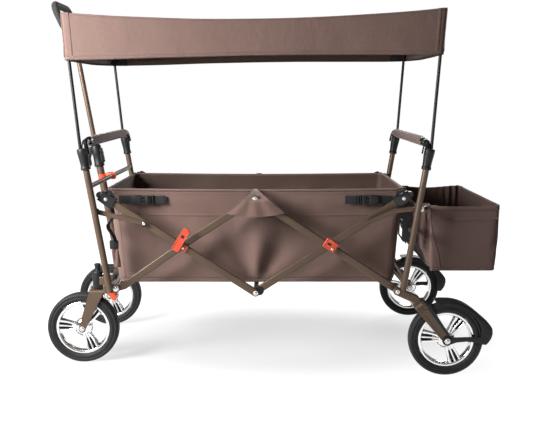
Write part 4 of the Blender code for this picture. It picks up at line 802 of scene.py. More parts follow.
def build_arms(metal):
    """The four arms of each side, with the bolts and spacers of their pivots."""
    gap = metal.arm_thickness + 0.003
    inner_y = OUTER_ARM_Y - gap
    outer_face = OUTER_ARM_Y + metal.arm_thickness / 2
    flat = lambda place: (place.x, place.z)
    foot_bend = FRONT_FOOT + Vector((0.022, 0, 0.0065))
    plans = (
        ("front_upper_arm", "front_upper_arms", OUTER_ARM_Y, [FRONT_HUB, LOW_MIDDLE]),
        ("front_lower_arm", "front_lower_arms", inner_y, [FRONT_FOOT, foot_bend, FRONT_CROSSING, TOP_MIDDLE]),
        ("rear_lower_arm", "rear_lower_arms", OUTER_ARM_Y, [REAR_FOOT, REAR_CROSSING, TOP_MIDDLE]),
        ("rear_upper_arm", "rear_upper_arms", inner_y, [REAR_HUB, LOW_MIDDLE]),
    )
    for label, side in NEAR_AND_FAR:
        for name, body, y, places in plans:
            shape = arm_shape([flat(place) for place in places], side * y, metal)
            make(f"{name}_bar_{label}", shape, "bronze", body, [f"{name}_{label}"])
        bolts = (("crossing_front", FRONT_CROSSING, "front_lower_arms", outer_face),
            ("crossing_rear", REAR_CROSSING, "rear_upper_arms", outer_face),
            ("top_middle", TOP_MIDDLE, "front_lower_arms", outer_face),
            ("low_middle", LOW_MIDDLE, "rear_upper_arms", outer_face))
        for name, place, body, face in bolts:
            shape = bmesh.new()
            bolt_head(shape, (place.x, side * face, place.z), (0, side, 0), metal.bolt_radius * 0.8)
            spacer = [(0.0, -0.0036), (0.0085, -0.0036), (0.0085, -0.0002), (0.0, -0.0002)]
            lathe(shape, spacer, (place.x, side * (OUTER_ARM_Y - metal.arm_thickness / 2 + 0.0002), place.z),
                (0, side, 0), 24, closed=False)
            make(f"{name}_bolt_{label}", shape, "steel", body)
        bolt(f"front_foot_bolt_{label}", "front_end", (FRONT_FOOT.x, side * (OUTER_ARM_Y - 0.0036),
            FRONT_FOOT.z), side, metal.bolt_radius)
        shape = bmesh.new()
        washer = [(0.0, 0.0), (0.0125, 0.0), (0.0125, 0.0016), (0.0112, 0.0022), (0.0, 0.0022)]
        lathe(shape, washer, (LOW_MIDDLE.x + 0.010, side * (inner_y + 0.0052), LOW_MIDDLE.z + 0.004),
            (0, side, 0), 32, closed=False)
        make(f"low_middle_washer_{label}", shape, "plastic", "rear_upper_arms")
    shape = bmesh.new()
    reach = inner_y - metal.arm_thickness / 2 - 0.0003
    sweep(shape, [LOW_MIDDLE - ACROSS * reach, LOW_MIDDLE + ACROSS * reach], round_section(0.007, 24))
    make("lower_cross_tube_round", shape, "bronze", "rear_upper_arms", ["lower_cross_tube"])


def build_hubs():
    """The ribbed corner blocks on the upper ends of the arms, with knob, hook and bolt."""
    for end, place, sign, body in (("front", FRONT_HUB, -1, "front_upper_arms"),
            ("rear", REAR_HUB, 1, "rear_upper_arms")):
        inward = Vector((-sign * cos(ARM_SLOPE), 0, -sin(ARM_SLOPE)))
        across = Vector((-inward.z, 0, inward.x)) * -sign
        for label, side in NEAR_AND_FAR:
            low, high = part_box(f"{end}_hub_{label}")
            y = (low.y + high.y) / 2
            deep = min(high.y - low.y, 0.020)
            face = y + side * deep / 2
            shape = bmesh.new()
            tip = place - inward * 0.019
            root = place + inward * 0.025
            outline = []
            for corner, lift in ((tip, 0.0125), (root, 0.0160), (root, -0.0160), (tip, -0.0125)):
                spot = corner + across * lift
                outline.append((spot.x, spot.z))
            slab(shape, outline, y, deep, 0.003, 3)
            for lift in (0.0128, -0.0128):
                start, end_point = tip + across * lift * 0.9, root + across * lift * 1.15
                offset = Vector((0, face, 0))
                sweep(shape, [start + offset, end_point + offset], round_section(0.0014, 10))
            knob = place - inward * 0.0205 + across * -0.001
            profile = [(0.0, 0.0085), (0.0055, 0.0085), (0.0078, 0.0066), (0.0082, 0.0040), (0.0082, -0.0085),
                (0.0, -0.0085)]
            lathe(shape, profile, knob + Vector((0, y, 0)), (0, side, 0), 32, closed=False)
            hook = [place + across * 0.013 - inward * 0.010, place + across * 0.019 - inward * 0.009,
                place + across * 0.0205 + inward * 0.001, place + across * 0.0185 + inward * 0.010,
                place + across * 0.014 + inward * 0.013]
            lift = Vector((0, y, 0))
            sweep(shape, [p + lift for p in rounded_path(hook, 0.004, 3)], bar_section(0.008, 0.0026, 0.001),
                up=ACROSS)
            make(f"{end}_hub_block_{label}", shape, "gloss", body, [f"{end}_hub_{label}"])
            bolt(f"{end}_hub_bolt_{label}", body, (place.x, face, place.z), side, 0.0036, 0.0028)


def build_links(metal):
    """The oval links between the front posts and the arms."""
    reach = (FRONT_HUB - FRONT_CROSSING).length * 0.4955
    far = FRONT_CROSSING + (FRONT_HUB - FRONT_CROSSING).normalized() * reach
    for label, side in NEAR_AND_FAR:
        y = side * (POST_Y - metal.post_radius - 0.0055)
        shape = bmesh.new()
        outline = bar_outline([(LINK_NEAR.x, LINK_NEAR.z), (far.x, far.z)], metal.link_height / 2, 16)
        slab(shape, outline, y, 0.005, 0.0018, 3)
        make(f"front_link_bar_{label}", shape, "bronze", "front_links", [f"front_link_{label}"])
        bolt(f"front_link_bolt_{label}", "front_links", (far.x, y + side * 0.0025, far.z), side, 0.0046,
            0.003, washer=False)
        shape = bmesh.new()
        ring = [(0.0, 0.0), (0.0078, 0.0), (0.0082, 0.0006), (0.0082, 0.0016), (0.0, 0.0016)]
        lathe(shape, ring, (far.x + 0.0012, y + side * 0.0022, far.z - 0.0008), (0, side, 0), 32,
            closed=False)
        knuckle = [(0.0, 0.0), (0.0075, 0.0), (0.0075, 0.0062), (0.0058, 0.0080), (0.0, 0.0080)]
        lathe(shape, knuckle, (LINK_NEAR.x, y - side * 0.010, LINK_NEAR.z), (0, side, 0), 28, closed=False)
        make(f"front_link_washers_{label}", shape, "plastic", "front_links")


# Wheels, forks and brakes

def tyre_profile(wheels, half):
    """Round tread and sides with ring grooves, as a closed section."""
    outer, inner = WHEEL_RADIUS, WHEEL_RADIUS * 0.762
    profile = [(inner, -half * 0.70)]
    side = [(inner + 0.0025, half * 0.84), (inner + 0.0045, half * 0.90)]
    for ring in (0.0075, 0.0125):
        side += [(inner + ring - 0.0008, half * 0.955), (inner + ring, half * 0.955 - wheels.groove),
            (inner + ring + 0.0008, half * 0.965)]
    side.append((outer - 0.0075, half * 0.985))
    for step in range(1, 6):
        angle = radians(90 * step / 6)
        side.append((outer - 0.0075 + 0.0072 * sin(angle), half * (0.985 - 0.50 * (1 - cos(angle)))))
    side.append((outer, half * 0.30))
    profile += [(radius, -place) for radius, place in side]
    profile += side[::-1]
    profile.append((inner, half * 0.70))
    return profile


def build_tyre(label, body, wheels):
    centre = middle(f"{label}_tyre")
    half = span(f"{label}_tyre").y / 2
    shape = bmesh.new()
    lathe(shape, tyre_profile(wheels, half), centre, ACROSS, wheels.turned_sides)
    make(f"{label}_tyre_round", shape, "rubber", body, [f"{label}_tyre"], smooth=55)


def build_rim(label, body, wheels):
    """The plated rim: lip, well, hub and spokes of three bars with dark slots between them. The dark of the
    slots and of the well is painted shade: a black plastic web behind each spoke and a black band in the
    well.
    """
    centre = middle(f"{label}_rim")
    seat = span(f"{label}_rim").z / 2 - 0.0002
    face = span(f"{label}_tyre").y / 2 * 0.66
    lip = wheels.lip
    shape = bmesh.new()
    band = [(seat, face), (seat - 0.0012, face + 0.0012), (seat - lip * 0.45, face + 0.0016),
        (seat - lip * 0.85, face + 0.0006), (seat - lip, face - 0.0012), (seat - lip - 0.0012, face * 0.45),
        (seat - lip - 0.0030, 0.0)]
    profile = band + [(radius, -place) for radius, place in band[-2::-1]]
    lathe(shape, profile, centre, ACROSS, wheels.turned_sides)
    hub = [(0.0, 0.0128), (0.0095, 0.0128), (0.0118, 0.0118), (0.0150, 0.0112), (0.0185, 0.0098),
        (0.0235, 0.0062), (0.0262, 0.0030), (0.0268, 0.0)]
    profile = hub + [(radius, -place) for radius, place in hub[-2::-1]]
    lathe(shape, profile, centre, ACROSS, 64, closed=False)
    rim_edge = seat - lip - 0.001
    for number in range(wheels.spokes):
        axis = wheels.first_spoke + 2 * pi * number / wheels.spokes
        for place in (-1, 0, 1):
            start_angle = axis + place * 0.30
            end_angle = axis + place * 0.20
            heading = lambda angle: Vector((cos(angle), 0, sin(angle)))
            for face_side in (-1, 1):
                path = []
                for step in range(9):
                    share = step / 8
                    angle = start_angle + (end_angle - start_angle) * share
                    radius = 0.0200 + (rim_edge - 0.0200) * share
                    level = (0.0072 - 0.0020 * sin(pi * share) + 0.0022 * share) * face_side
                    path.append(centre + heading(angle) * radius + ACROSS * level)
                width = wheels.bar_width * (0.82 if place == 0 else 1.0)
                scales = [1.15 - 0.25 * sin(pi * min(1.0, step / 7)) for step in range(9)]
                sweep(shape, path, bar_section(width, wheels.bar_depth * 0.75, 0.0015), up=ACROSS,
                    scales=scales)
    make(f"{label}_rim_turned", shape, "chrome", body, [f"{label}_rim"], smooth=42)
    # Painted shade: black plastic webs behind the spokes and a black band in the well stand for the shaded
    # slots and the shaded inner wall of the rim.
    shape = bmesh.new()
    for number in range(wheels.spokes):
        axis = wheels.first_spoke + 2 * pi * number / wheels.spokes
        outline = [(centre.x + p[0], centre.z + p[1]) for p in arc((0, 0), rim_edge + 0.001,
            math.degrees(axis) - 11, math.degrees(axis) + 11, 6) + arc((0, 0), 0.036, math.degrees(axis) + 13,
            math.degrees(axis) - 13, 4)]
        slab(shape, outline, centre.y, 0.0050)
    well = [(seat - 0.0010, face - 0.001), (seat - 0.0010, 0.0015 - face), (seat - 0.0034, 0.0015 - face),
        (seat - 0.0034, face - 0.001)]
    lathe(shape, well, centre, ACROSS, wheels.turned_sides)
    make(f"{label}_rim_shadow_web", shape, "plastic", body)


def build_wheels(wheels):
    for label, _ in NEAR_AND_FAR:
        for end in ("rear", "front"):
            build_tyre(f"{end}_{label}", f"{end}_wheel_{label}", wheels)
            build_rim(f"{end}_{label}", f"{end}_wheel_{label}", wheels)


def fork_rows(height, top_half, end_half, top_shift, sheet, gap, corner):
    """Rows of a stamped fork, from one blade's round end over its top to the other's.

    Each row is a closed section in (across, up, sideways), counted from the axle.
    """
    edge = sheet * 0.36

    def width_at(level):
        if level < 0:
            return 0.0, math.sqrt(max(end_half ** 2 - level ** 2, 1e-8))
        share = level / height
        return top_shift * share, end_half + (top_half - end_half) * share ** 0.9

    levels = [-end_half * cos(radians(90 * step / 8)) for step in range(8)]
    levels += [height * step / 14 for step in range(15) if height * step / 14 < height - corner]
    half_gap = gap + sheet / 2
    stations = [(level, -half_gap, 0.0, -1.0) for level in levels]
    for step in range(7):
        angle = radians(90 * step / 6)
        stations.append((height - corner + corner * sin(angle), -half_gap + corner * (1 - cos(angle)),
            sin(angle), -cos(angle)))
    mirrored = [(level, -place, up, -out) for level, place, up, out in stations[::-1]]
    stations += mirrored
    rows = []
    for level, place, up, out in stations:
        centre, half = width_at(level)
        section = []
        for a, b in ((-half, -sheet / 2 + edge), (-half + edge, -sheet / 2), (half - edge, -sheet / 2),
                (half, -sheet / 2 + edge), (half, sheet / 2 - edge), (half - edge, sheet / 2),
                (-half + edge, sheet / 2), (-half, sheet / 2 - edge)):
            section.append((centre + a, level + b * up, place + b * out))
        rows.append(section)
    return rows


def build_forks(metal):
    """The stamped forks of the rear wheels and of the casters, with their axle bolts."""
    sheet = metal.fork_sheet
    gap = span("rear_near_tyre").y / 2 + 0.0028
    axle = Vector((REAR_AXLE.x, 0, REAR_AXLE.z))
    behind = Vector((-REAR_RUN.z, 0, REAR_RUN.x))
    for label, side in NEAR_AND_FAR:
        centre = ACROSS * side * POST_Y
        rows = fork_rows((CROWN - axle).length + 0.009, 0.0160, 0.0098, 0.0, sheet, gap, 0.009)
        shape = bmesh.new()
        skin(shape, [[axle - behind * a - REAR_RUN * b + centre + ACROSS * c for a, b,
            c in row] for row in rows], around=True, capped=True)
        face = centre + ACROSS * side * (gap + sheet)
        for step in range(4):
            spot = CROWN + REAR_RUN * (0.0045 * step - 0.004) + face
            sweep(shape, [spot - behind * 0.0145, spot + behind * 0.0145], round_section(0.0013, 8))
        ridge = [CROWN + REAR_RUN * (0.020 + 0.012 * step) + face - behind * 0.0085 for step in range(7)]
        sweep(shape, ridge, bar_section(0.0018, 0.0060, 0.0008), up=behind)
        make(f"rear_fork_blades_{label}", shape, "bronze", "rear_end", [f"rear_fork_{label}"])
        # Painted shade: a black block behind the crown and a black strip along the rear edge of the outer
        # blade stand for the shaded far side of the crown and the shaded edge of the blade.
        shape = bmesh.new()
        turn = Matrix.Rotation(math.atan2(REAR_RUN.x, -REAR_RUN.z) * -1, 4, "Y")
        brick(shape, CROWN + behind * 0.0125 + REAR_RUN * 0.003 + centre, (0.013, 2 * (gap + sheet), 0.030),
            0.006, turn)
        edge = [CROWN + REAR_RUN * 0.008 + behind * 0.0165, CROWN + REAR_RUN * 0.050 + behind * 0.0150,
            axle - REAR_RUN * 0.004 + behind * 0.0115]
        slab(shape, bar_outline([(p.x, p.z) for p in edge], [0.0060, 0.0045, 0.0030]),
            side * (POST_Y + gap + sheet * 0.6), sheet * 1.4, 0.0008, 2)
        make(f"rear_fork_guard_{label}", shape, "plastic", "rear_end")
        bolt(f"rear_axle_bolt_{label}", "rear_end", axle + centre + ACROSS * side * (gap + sheet + 0.0062),
            side, 0.0058, 0.0045)
        bolt(f"rear_axle_nut_{label}", "rear_end", axle + centre - ACROSS * side * (gap + sheet), -side,
            0.0058, 0.0045)
    fork_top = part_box("caster_fork_near")[1].z
    axle = Vector((FRONT_AXLE.x, 0, FRONT_AXLE.z))
    for label, side in NEAR_AND_FAR:
        y = side * CASTER_Y
        rows = fork_rows(fork_top - axle.z - 0.0003, 0.0212, 0.0100, SWIVEL.x - axle.x + 0.001, sheet, gap,
            0.006)
        # The blades lean, and their sections stay level up to the flat top
        shape = bmesh.new()
        skin(shape, [[axle + Vector((a, y + c, b - sheet / 2)) for a, b, c in row] for row in rows],
            around=True, capped=True)
        make(f"caster_fork_blades_{label}", shape, "bronze", f"caster_{label}", [f"caster_fork_{label}"])
        for way in (-1, 1):
            bolt(f"caster_axle_bolt_{label}_{'out' if way == side else 'in'}", f"caster_{label}",
                axle + ACROSS * (y + way * (gap + sheet)), way, 0.0056, 0.0040)


def build_brakes():
    """The mudguards over the rear tyres, with the arm and ring of each pedal."""
    inner = WHEEL_RADIUS + 0.0045
    flare = ((-6, 0.0), (-3, 0.0045), (3, 0.0120), (9, 0.0165), (15, 0.0178), (23, 0.0130), (31, 0.0068),
        (39, 0.0025), (52, 0.0), (92, 0.0005), (106, 0.0030))
    for label, side in NEAR_AND_FAR:
        low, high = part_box(f"brake_pedal_{label}")
        y = (low.y + high.y) / 2
        half = (high.y - low.y) / 2 - 0.0002
        shape = bmesh.new()
        rows = []
        for step in range(61):
            degrees = -6 + 112 * step / 60
            outer = inner + 0.0030 + between(flare, degrees)[0]
            skirt = inner - 0.0085 * min(1.0, max(0.0, (106 - degrees) / 14)) ** 0.5
            skirt -= 0.0050 * max(0.0, 1 - abs(degrees - 4) / 18)
            ray = Vector((cos(radians(degrees)), 0, sin(radians(degrees))))
            section = []
            for across, radius in ((-1, skirt), (-1, outer - 0.0040), (-0.92, outer - 0.0012), (-0.76, outer),
                    (0, outer + 0.0006), (0.76, outer), (0.92, outer - 0.0012), (1, outer - 0.0040),
                    (1, skirt), (0.88, skirt), (0.88, inner), (-0.88, inner), (-0.88, skirt)):
                section.append(Vector((REAR_AXLE.x, y + across * half, REAR_AXLE.z)) + ray * radius)
            rows.append(section)
        skin(shape, rows, around=True, capped=True)
        plane = y + side * (half - 0.0013)
        bow = [(REAR_AXLE.x + reach, REAR_AXLE.z + 0.0052 * sin(pi * reach / 0.106) - 0.001)
            for reach in (0.0, 0.026, 0.052, 0.078, 0.102)]
        slab(shape, bar_outline(bow, [0.0118, 0.0070, 0.0064, 0.0078, 0.0090]), plane, 0.0032, 0.0010)
        ring = [(0.0062, 0.0), (0.0120, 0.0), (0.0126, 0.0008), (0.0126, 0.0030), (0.0112, 0.0042),
            (0.0078, 0.0042), (0.0062, 0.0034)]
        lathe(shape, ring, (REAR_AXLE.x, plane - side * 0.0012, REAR_AXLE.z), (0, side, 0), 40)
        make(f"brake_guard_{label}", shape, "plastic", f"brake_{label}", [f"brake_pedal_{label}"], smooth=45)


def build_casters():
    """The moulded swivel housings and the red levers that lock them."""
    for label, side in NEAR_AND_FAR:
        low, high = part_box(f"swivel_housing_{label}")
        centre = Vector((SWIVEL.x, side * CASTER_Y, high.z))
        deep = high.z - low.z
        radius = (high.y - low.y) / 2
        shape = bmesh.new()
        profile = [(0.0, 0.0), (0.0060, 0.0), (0.0080, -0.0008), (0.0093, -0.0026), (0.0090, -0.0050),
            (0.0078, -0.0072), (0.0076, -0.0150), (0.0086, -0.0185), (0.0094, -0.0200), (0.0128, -0.0208),
            (radius - 0.0006, -0.0222), (radius, -0.0245), (radius, -deep + 0.0014), (radius - 0.0012, -deep),
            (0.0, -deep)]
        lathe(shape, profile, centre, UP, 48, closed=False)
        for degrees in range(0, 360, 45):
            angle = radians(degrees)
            spot = centre + Vector((cos(angle), sin(angle), 0)) * (radius - 0.0002)
            sweep(shape, [spot - UP * 0.030, spot - UP * (deep - 0.004)], round_section(0.0009, 8))
        make(f"swivel_housing_turned_{label}", shape, "plastic", "front_end", [f"swivel_housing_{label}"])
        hinge = joint_at(f"swivel_lock_{label}_flip")
        x, z = hinge.x, hinge.z
        outline = [(x + 0.0008, z + 0.0034), (x + 0.010, z + 0.0042), (x + 0.020, z - 0.0005),
            (x + 0.0335, z - 0.0120), (x + 0.0330, z - 0.0220), (x + 0.0300, z - 0.0262),
            (x + 0.0225, z - 0.0262), (x + 0.0175, z - 0.0170), (x + 0.011, z - 0.0100),
            (x + 0.0008, z - 0.0034)]
        shape = bmesh.new()
        slab(shape, outline, hinge.y, 0.0258, 0.0022, 4)
        for place in (-0.0075, 0.0, 0.0075):
            sweep(shape, [(x + 0.0150, hinge.y + place, z + 0.0026),
                (x + 0.0305, hinge.y + place, z - 0.0090)], round_section(0.0011, 8))
        make(f"swivel_lever_{label}", shape, "red", f"swivel_lever_{label}", [f"swivel_lock_{label}"])


# Handles, sockets and hoops

def build_ends(metal):
    """Push handle, its cloth sleeve, the tapered sockets and the canopy hoop of both ends."""
    for end, sign, post_x in (("front", -1, front_post_x), ("rear", 1, rear_post_x)):
        body = f"{end}_end"
        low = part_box(f"{end}_handle")[0].z + 0.0014
        sleeve = middle(f"{end}_handle_sleeve")
        radius = span(f"{end}_handle_sleeve").z / 2
        half = span(f"{end}_handle_sleeve").y / 2
        lean = Vector((sign * sin(POST_LEAN), 0, cos(POST_LEAN)))
        shape = bmesh.new()
        roots = []
        for side in (-1, 1):
            base = Vector((post_x(low), side * POST_Y, low))
            profile = [(0.0088, -0.0010), (0.0120, -0.0010), (0.0127, 0.0004), (0.0127, 0.0058),
                (0.0118, 0.0070), (0.0114, 0.0085), (0.0120, 0.0200), (0.0134, 0.0360), (0.0143, 0.0460),
                (0.0141, 0.0510), (0.0128, 0.0540), (0.0100, 0.0552), (0.0, 0.0552)]
            lathe(shape, profile, base, lean, 40, closed=False)
            roots.append(base + lean * 0.040 - Vector((sign * 0.0095, 0, 0)))
        make(f"{end}_sockets", shape, "plastic", body, [f"{end}_handle"])
        shape = bmesh.new()
        path = rounded_path([roots[0], Vector((sleeve.x, roots[0].y, sleeve.z)),
            Vector((sleeve.x, roots[1].y, sleeve.z)), roots[1]], 0.027, 12)
        reach = line_length(path)
        done, scales = 0.0, []
        for index, point in enumerate(path):
            done += (point - path[index - 1]).length if index else 0.0
            scales.append(1.0 + 0.30 * math.exp(-(min(done, reach - done) / 0.024) ** 2))
        sweep(shape, path, round_section(0.0080, metal.tube_sides), scales=scales)
        for side in (-1, 1):
            flange = [(0.0080, -0.020), (0.0094, -0.018), (0.0112, -0.004), (0.0118, 0.0), (0.0118, 0.005),
                (0.0080, 0.005)]
            lathe(shape, flange, (sleeve.x, side * (half + 0.004), sleeve.z), (0, -side, 0), 36)
        make(f"{end}_handle_bar", shape, "gloss", body)
        shape = bmesh.new()
        path, scales = [], []
        for step in range(121):
            share = step / 120
            y = half * (2 * share - 1)
            close = min(share, 1 - share)
            scales.append((1.0 if close > 0.010 else 0.90) + 0.022 * noise.noise(Vector((y * 46, sign * 3.0,
                0.0))))
            path.append((sleeve.x, y, sleeve.z + 0.0006 * noise.noise(Vector((y * 25, 7.0 * sign, 1.0)))))
        section = [(a, b * (1.08 if b < 0 else 1.0)) for a, b in round_section(radius, 40)]
        sweep(shape, path, section, up=UP, scales=scales)
        make(f"{end}_sleeve_cloth", shape, "cloth", body, [f"{end}_handle_sleeve"])
        # Painted shade: a black webbing strip along the underside of the sleeve stands for its underside flap
        # in shadow.
        shape = bmesh.new()
        seam = [Vector((sleeve.x + 0.004, half * (2 * step / 60 - 1) * 0.98,
            sleeve.z - radius * 0.98)) for step in range(61)]
        sweep(shape, seam, bar_section(0.0050, 0.0016, 0.0006), up=UP)
        make(f"{end}_sleeve_underside_shade", shape, "webbing", body)
        hoop_low, hoop_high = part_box(f"{end}_hoop")
        inside, outside = (hoop_high.x, hoop_low.x) if sign < 0 else (hoop_low.x, hoop_high.x)
        foot_x, head_x = inside + sign * metal.hoop_radius, outside - sign * metal.hoop_radius
        top = hoop_high.z - metal.hoop_radius
        path = [(foot_x, -POST_Y, hoop_low.z), (head_x, -POST_Y, top), (head_x, POST_Y, top),
            (foot_x, POST_Y, hoop_low.z)]
        shape = bmesh.new()
        sweep(shape, rounded_path(path, 0.030, 10), round_section(metal.hoop_radius, 20))
        make(f"{end}_hoop_wire", shape, "wire", body, [f"{end}_hoop"])


# Cloth

def plan_outline(x_low, x_high, half, radius, long_steps, short_steps, corner_steps=5):
    """A rounded rectangle in plan, as points that run round it from the far rear corner."""
    corners = ((x_high - radius, half - radius, 0), (x_low + radius, half - radius, 90),
        (x_low + radius, -half + radius, 180), (x_high - radius, -half + radius, 270))
    points = []
    counts = (long_steps, short_steps, long_steps, short_steps)
    for index, (x, y, start) in enumerate(corners):
        points += arc((x, y), radius, start, start + 90, corner_steps)
        end = points[-1]
        nx, ny, next_start = corners[(index + 1) % 4]
        target = arc((nx, ny), radius, next_start, next_start + 90, corner_steps)[0]
        for step in range(1, counts[index]):
            share = step / counts[index]
            points.append((end[0] + (target[0] - end[0]) * share, end[1] + (target[1] - end[1]) * share))
    return points


def closes_up(item):
    """Gives a cloth piece a mesh of its own."""
    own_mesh(item)


class CanopyForm:
    """The stretched top and its hanging border, as rings of points from the hem upwards."""

    def __init__(self, cloth):
        low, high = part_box("canopy")
        self.cloth = cloth
        self.low_x, self.high_x = low.x + 0.0012, high.x - 0.0012
        self.half = (high.y - low.y) / 2 - 0.0015
        self.top_rear = high.z + 0.0013
        self.top_front = self.top_rear - 0.0117
        self.drop = 0.1130
        self.long_steps, self.short_steps, self.corner_steps = 110, 56, 6

    def share(self, x):
        return min(1.0, max(0.0, (x - self.low_x) / (self.high_x - self.low_x)))

    def top_height(self, x, y):
        share = self.share(x)
        level = self.top_front + (self.top_rear - self.top_front) * share
        sag = self.cloth.sag * sin(pi * min(1, max(0, (share - 0.012) / 0.976))) ** 0.8
        ripple = 0.0007 * noise.noise(Vector((x * 7, y * 9, 0.3)))
        return level - sag + ripple

    def ring(self, rise, inset=0.0, lifted=0.0):
        """Points round the border. Rise is 0 at the hem and 1 at the top edge."""
        lean = 0.0062 * (1 - rise)
        outline = plan_outline(self.low_x + lean + inset, self.high_x - lean - inset,
            self.half - lean * 0.5 - inset, max(0.002, 0.012 - inset * 0.3), self.long_steps,
            self.short_steps, self.corner_steps)
        points = []
        for x, y in outline:
            share = self.share(x)
            level = self.top_height(x, y)
            hang = self.drop + 0.0025 + 0.0033 * (1 - share) - 0.0259 * sin(pi * share) * (abs(y) / self.half)
            hang -= 0.008 * max(0.0, y / self.half)
            pull = 0.0045 * sin(pi * share) ** 2 * (0.4 + 0.6 * rise)
            wave = 0.0026 * (1 - rise) * noise.noise(Vector((x * 6.5, y * 6.5, 1.7)))
            wave += 0.0011 * (1 - rise * 0.5) * noise.noise(Vector((x * 26, y * 26, level * 9 + rise * 1.5)))
            outward = Vector((0, math.copysign(1, y), 0)) if abs(y) > self.half - 0.03 else Vector(
                (math.copysign(1, x - (self.low_x + self.high_x) / 2), 0, 0))
            spot = Vector((x, y, level - hang * (1 - rise)))
            if abs(y) > self.half - 0.03:
                spot.y -= math.copysign(pull, y)
            points.append(spot + outward * (wave + lifted))
        return points

    def outward(self, point):
        if abs(point.y) > self.half - 0.02:
            return Vector((0, math.copysign(1, point.y), 0))
        return Vector((math.copysign(1, point.x - (self.low_x + self.high_x) / 2), 0, 0))


def build_canopy(cloth):
    """The canopy: one sheet over both hoops, with turned hems, upright seams and stitches."""
    form = CanopyForm(cloth)
    hem_share = cloth.hem / form.drop
    shape = bmesh.new()
    rows = [form.ring(0.0, lifted=0.0002), form.ring(0.012, lifted=0.0010),
        form.ring(hem_share * 0.55, lifted=0.0011), form.ring(hem_share * 0.94, lifted=0.0010),
        form.ring(hem_share * 1.04, lifted=0.0)]
    rows += [form.ring(hem_share + (0.93 - hem_share) * step / 12) for step in range(1, 13)]
    rows += [form.ring(0.970), form.ring(0.992, inset=0.0006), form.ring(1.0, inset=0.0025)]
    insets = (0.006, 0.011, 0.018, 0.028, 0.045, 0.070, 0.100, 0.135, 0.175, 0.215, 0.255, form.half - 0.004)
    for inset in insets:
        rows.append(form.ring(1.0, inset=inset))
    skin(shape, rows, around=True)
    last = form.ring(1.0, inset=form.half - 0.0005)
    skin(shape, [rows[-1], last], around=True)
    canopy = make("canopy_cloth", shape, "cloth", "rear_end", ["canopy"], smooth=60, lining="lining")
    thicken(canopy, cloth.sheet)
    closes_up(canopy)

    shape = bmesh.new()
    for rise in (hem_share * 0.90, hem_share * 0.16):
        ring = form.ring(rise, lifted=0.0013)
        stitched(shape, ring + ring[:1], form.outward, cloth)
    top = form.ring(0.955, lifted=0.0003)
    stitched(shape, top + top[:1], form.outward, cloth)
    count = len(top)
    seams = []
    for x_target in (form.low_x + cloth.end_seam, form.high_x - cloth.end_seam):
        for side in (-1, 1):
            candidates = [i for i in range(count) if top[i].y * side > form.half - 0.02]
            seams.append(min(candidates, key=lambda i: abs(top[i].x - x_target)))
    uprights = []
    for index in seams:
        upright = [form.ring(rise, lifted=0.0003)[index] for rise in [step / 14 for step in range(15)]]
        uprights.append(upright)
        for shift in (-0.0022, 0.0022):
            stitched(shape, [p + Vector((shift, 0, 0)) for p in upright], form.outward, cloth)
    closes_up(make("canopy_stitches", shape, "thread", "rear_end"))
    shape = bmesh.new()
    for upright in uprights:
        sweep(shape, upright, bar_section(0.0070, 0.0012, 0.0005), up=ACROSS)
    for side in (-1, 1):
        for end in (form.low_x, form.high_x):
            index = nearest(top, end, side * form.half)
            welt = [form.ring(rise, lifted=0.0004)[index] for rise in [step / 14 for step in range(15)]]
            sweep(shape, welt, round_section(0.0013, 8))
    closes_up(make("canopy_seams", shape, "cloth", "rear_end"))
    shape = bmesh.new()
    for x in (form.low_x + 0.031, form.high_x - 0.031):
        for side in (-1, 1):
            level = min(point.z for point in form.ring(0.0) if point.y * side > 0 and abs(point.x - x) < 0.03)
            brick(shape, (x, side * (form.half - 0.0062), level + 0.0240), (0.050, 0.0018, 0.032), 0.0006)
    closes_up(make("canopy_corner_patches", shape, "webbing", "rear_end"))


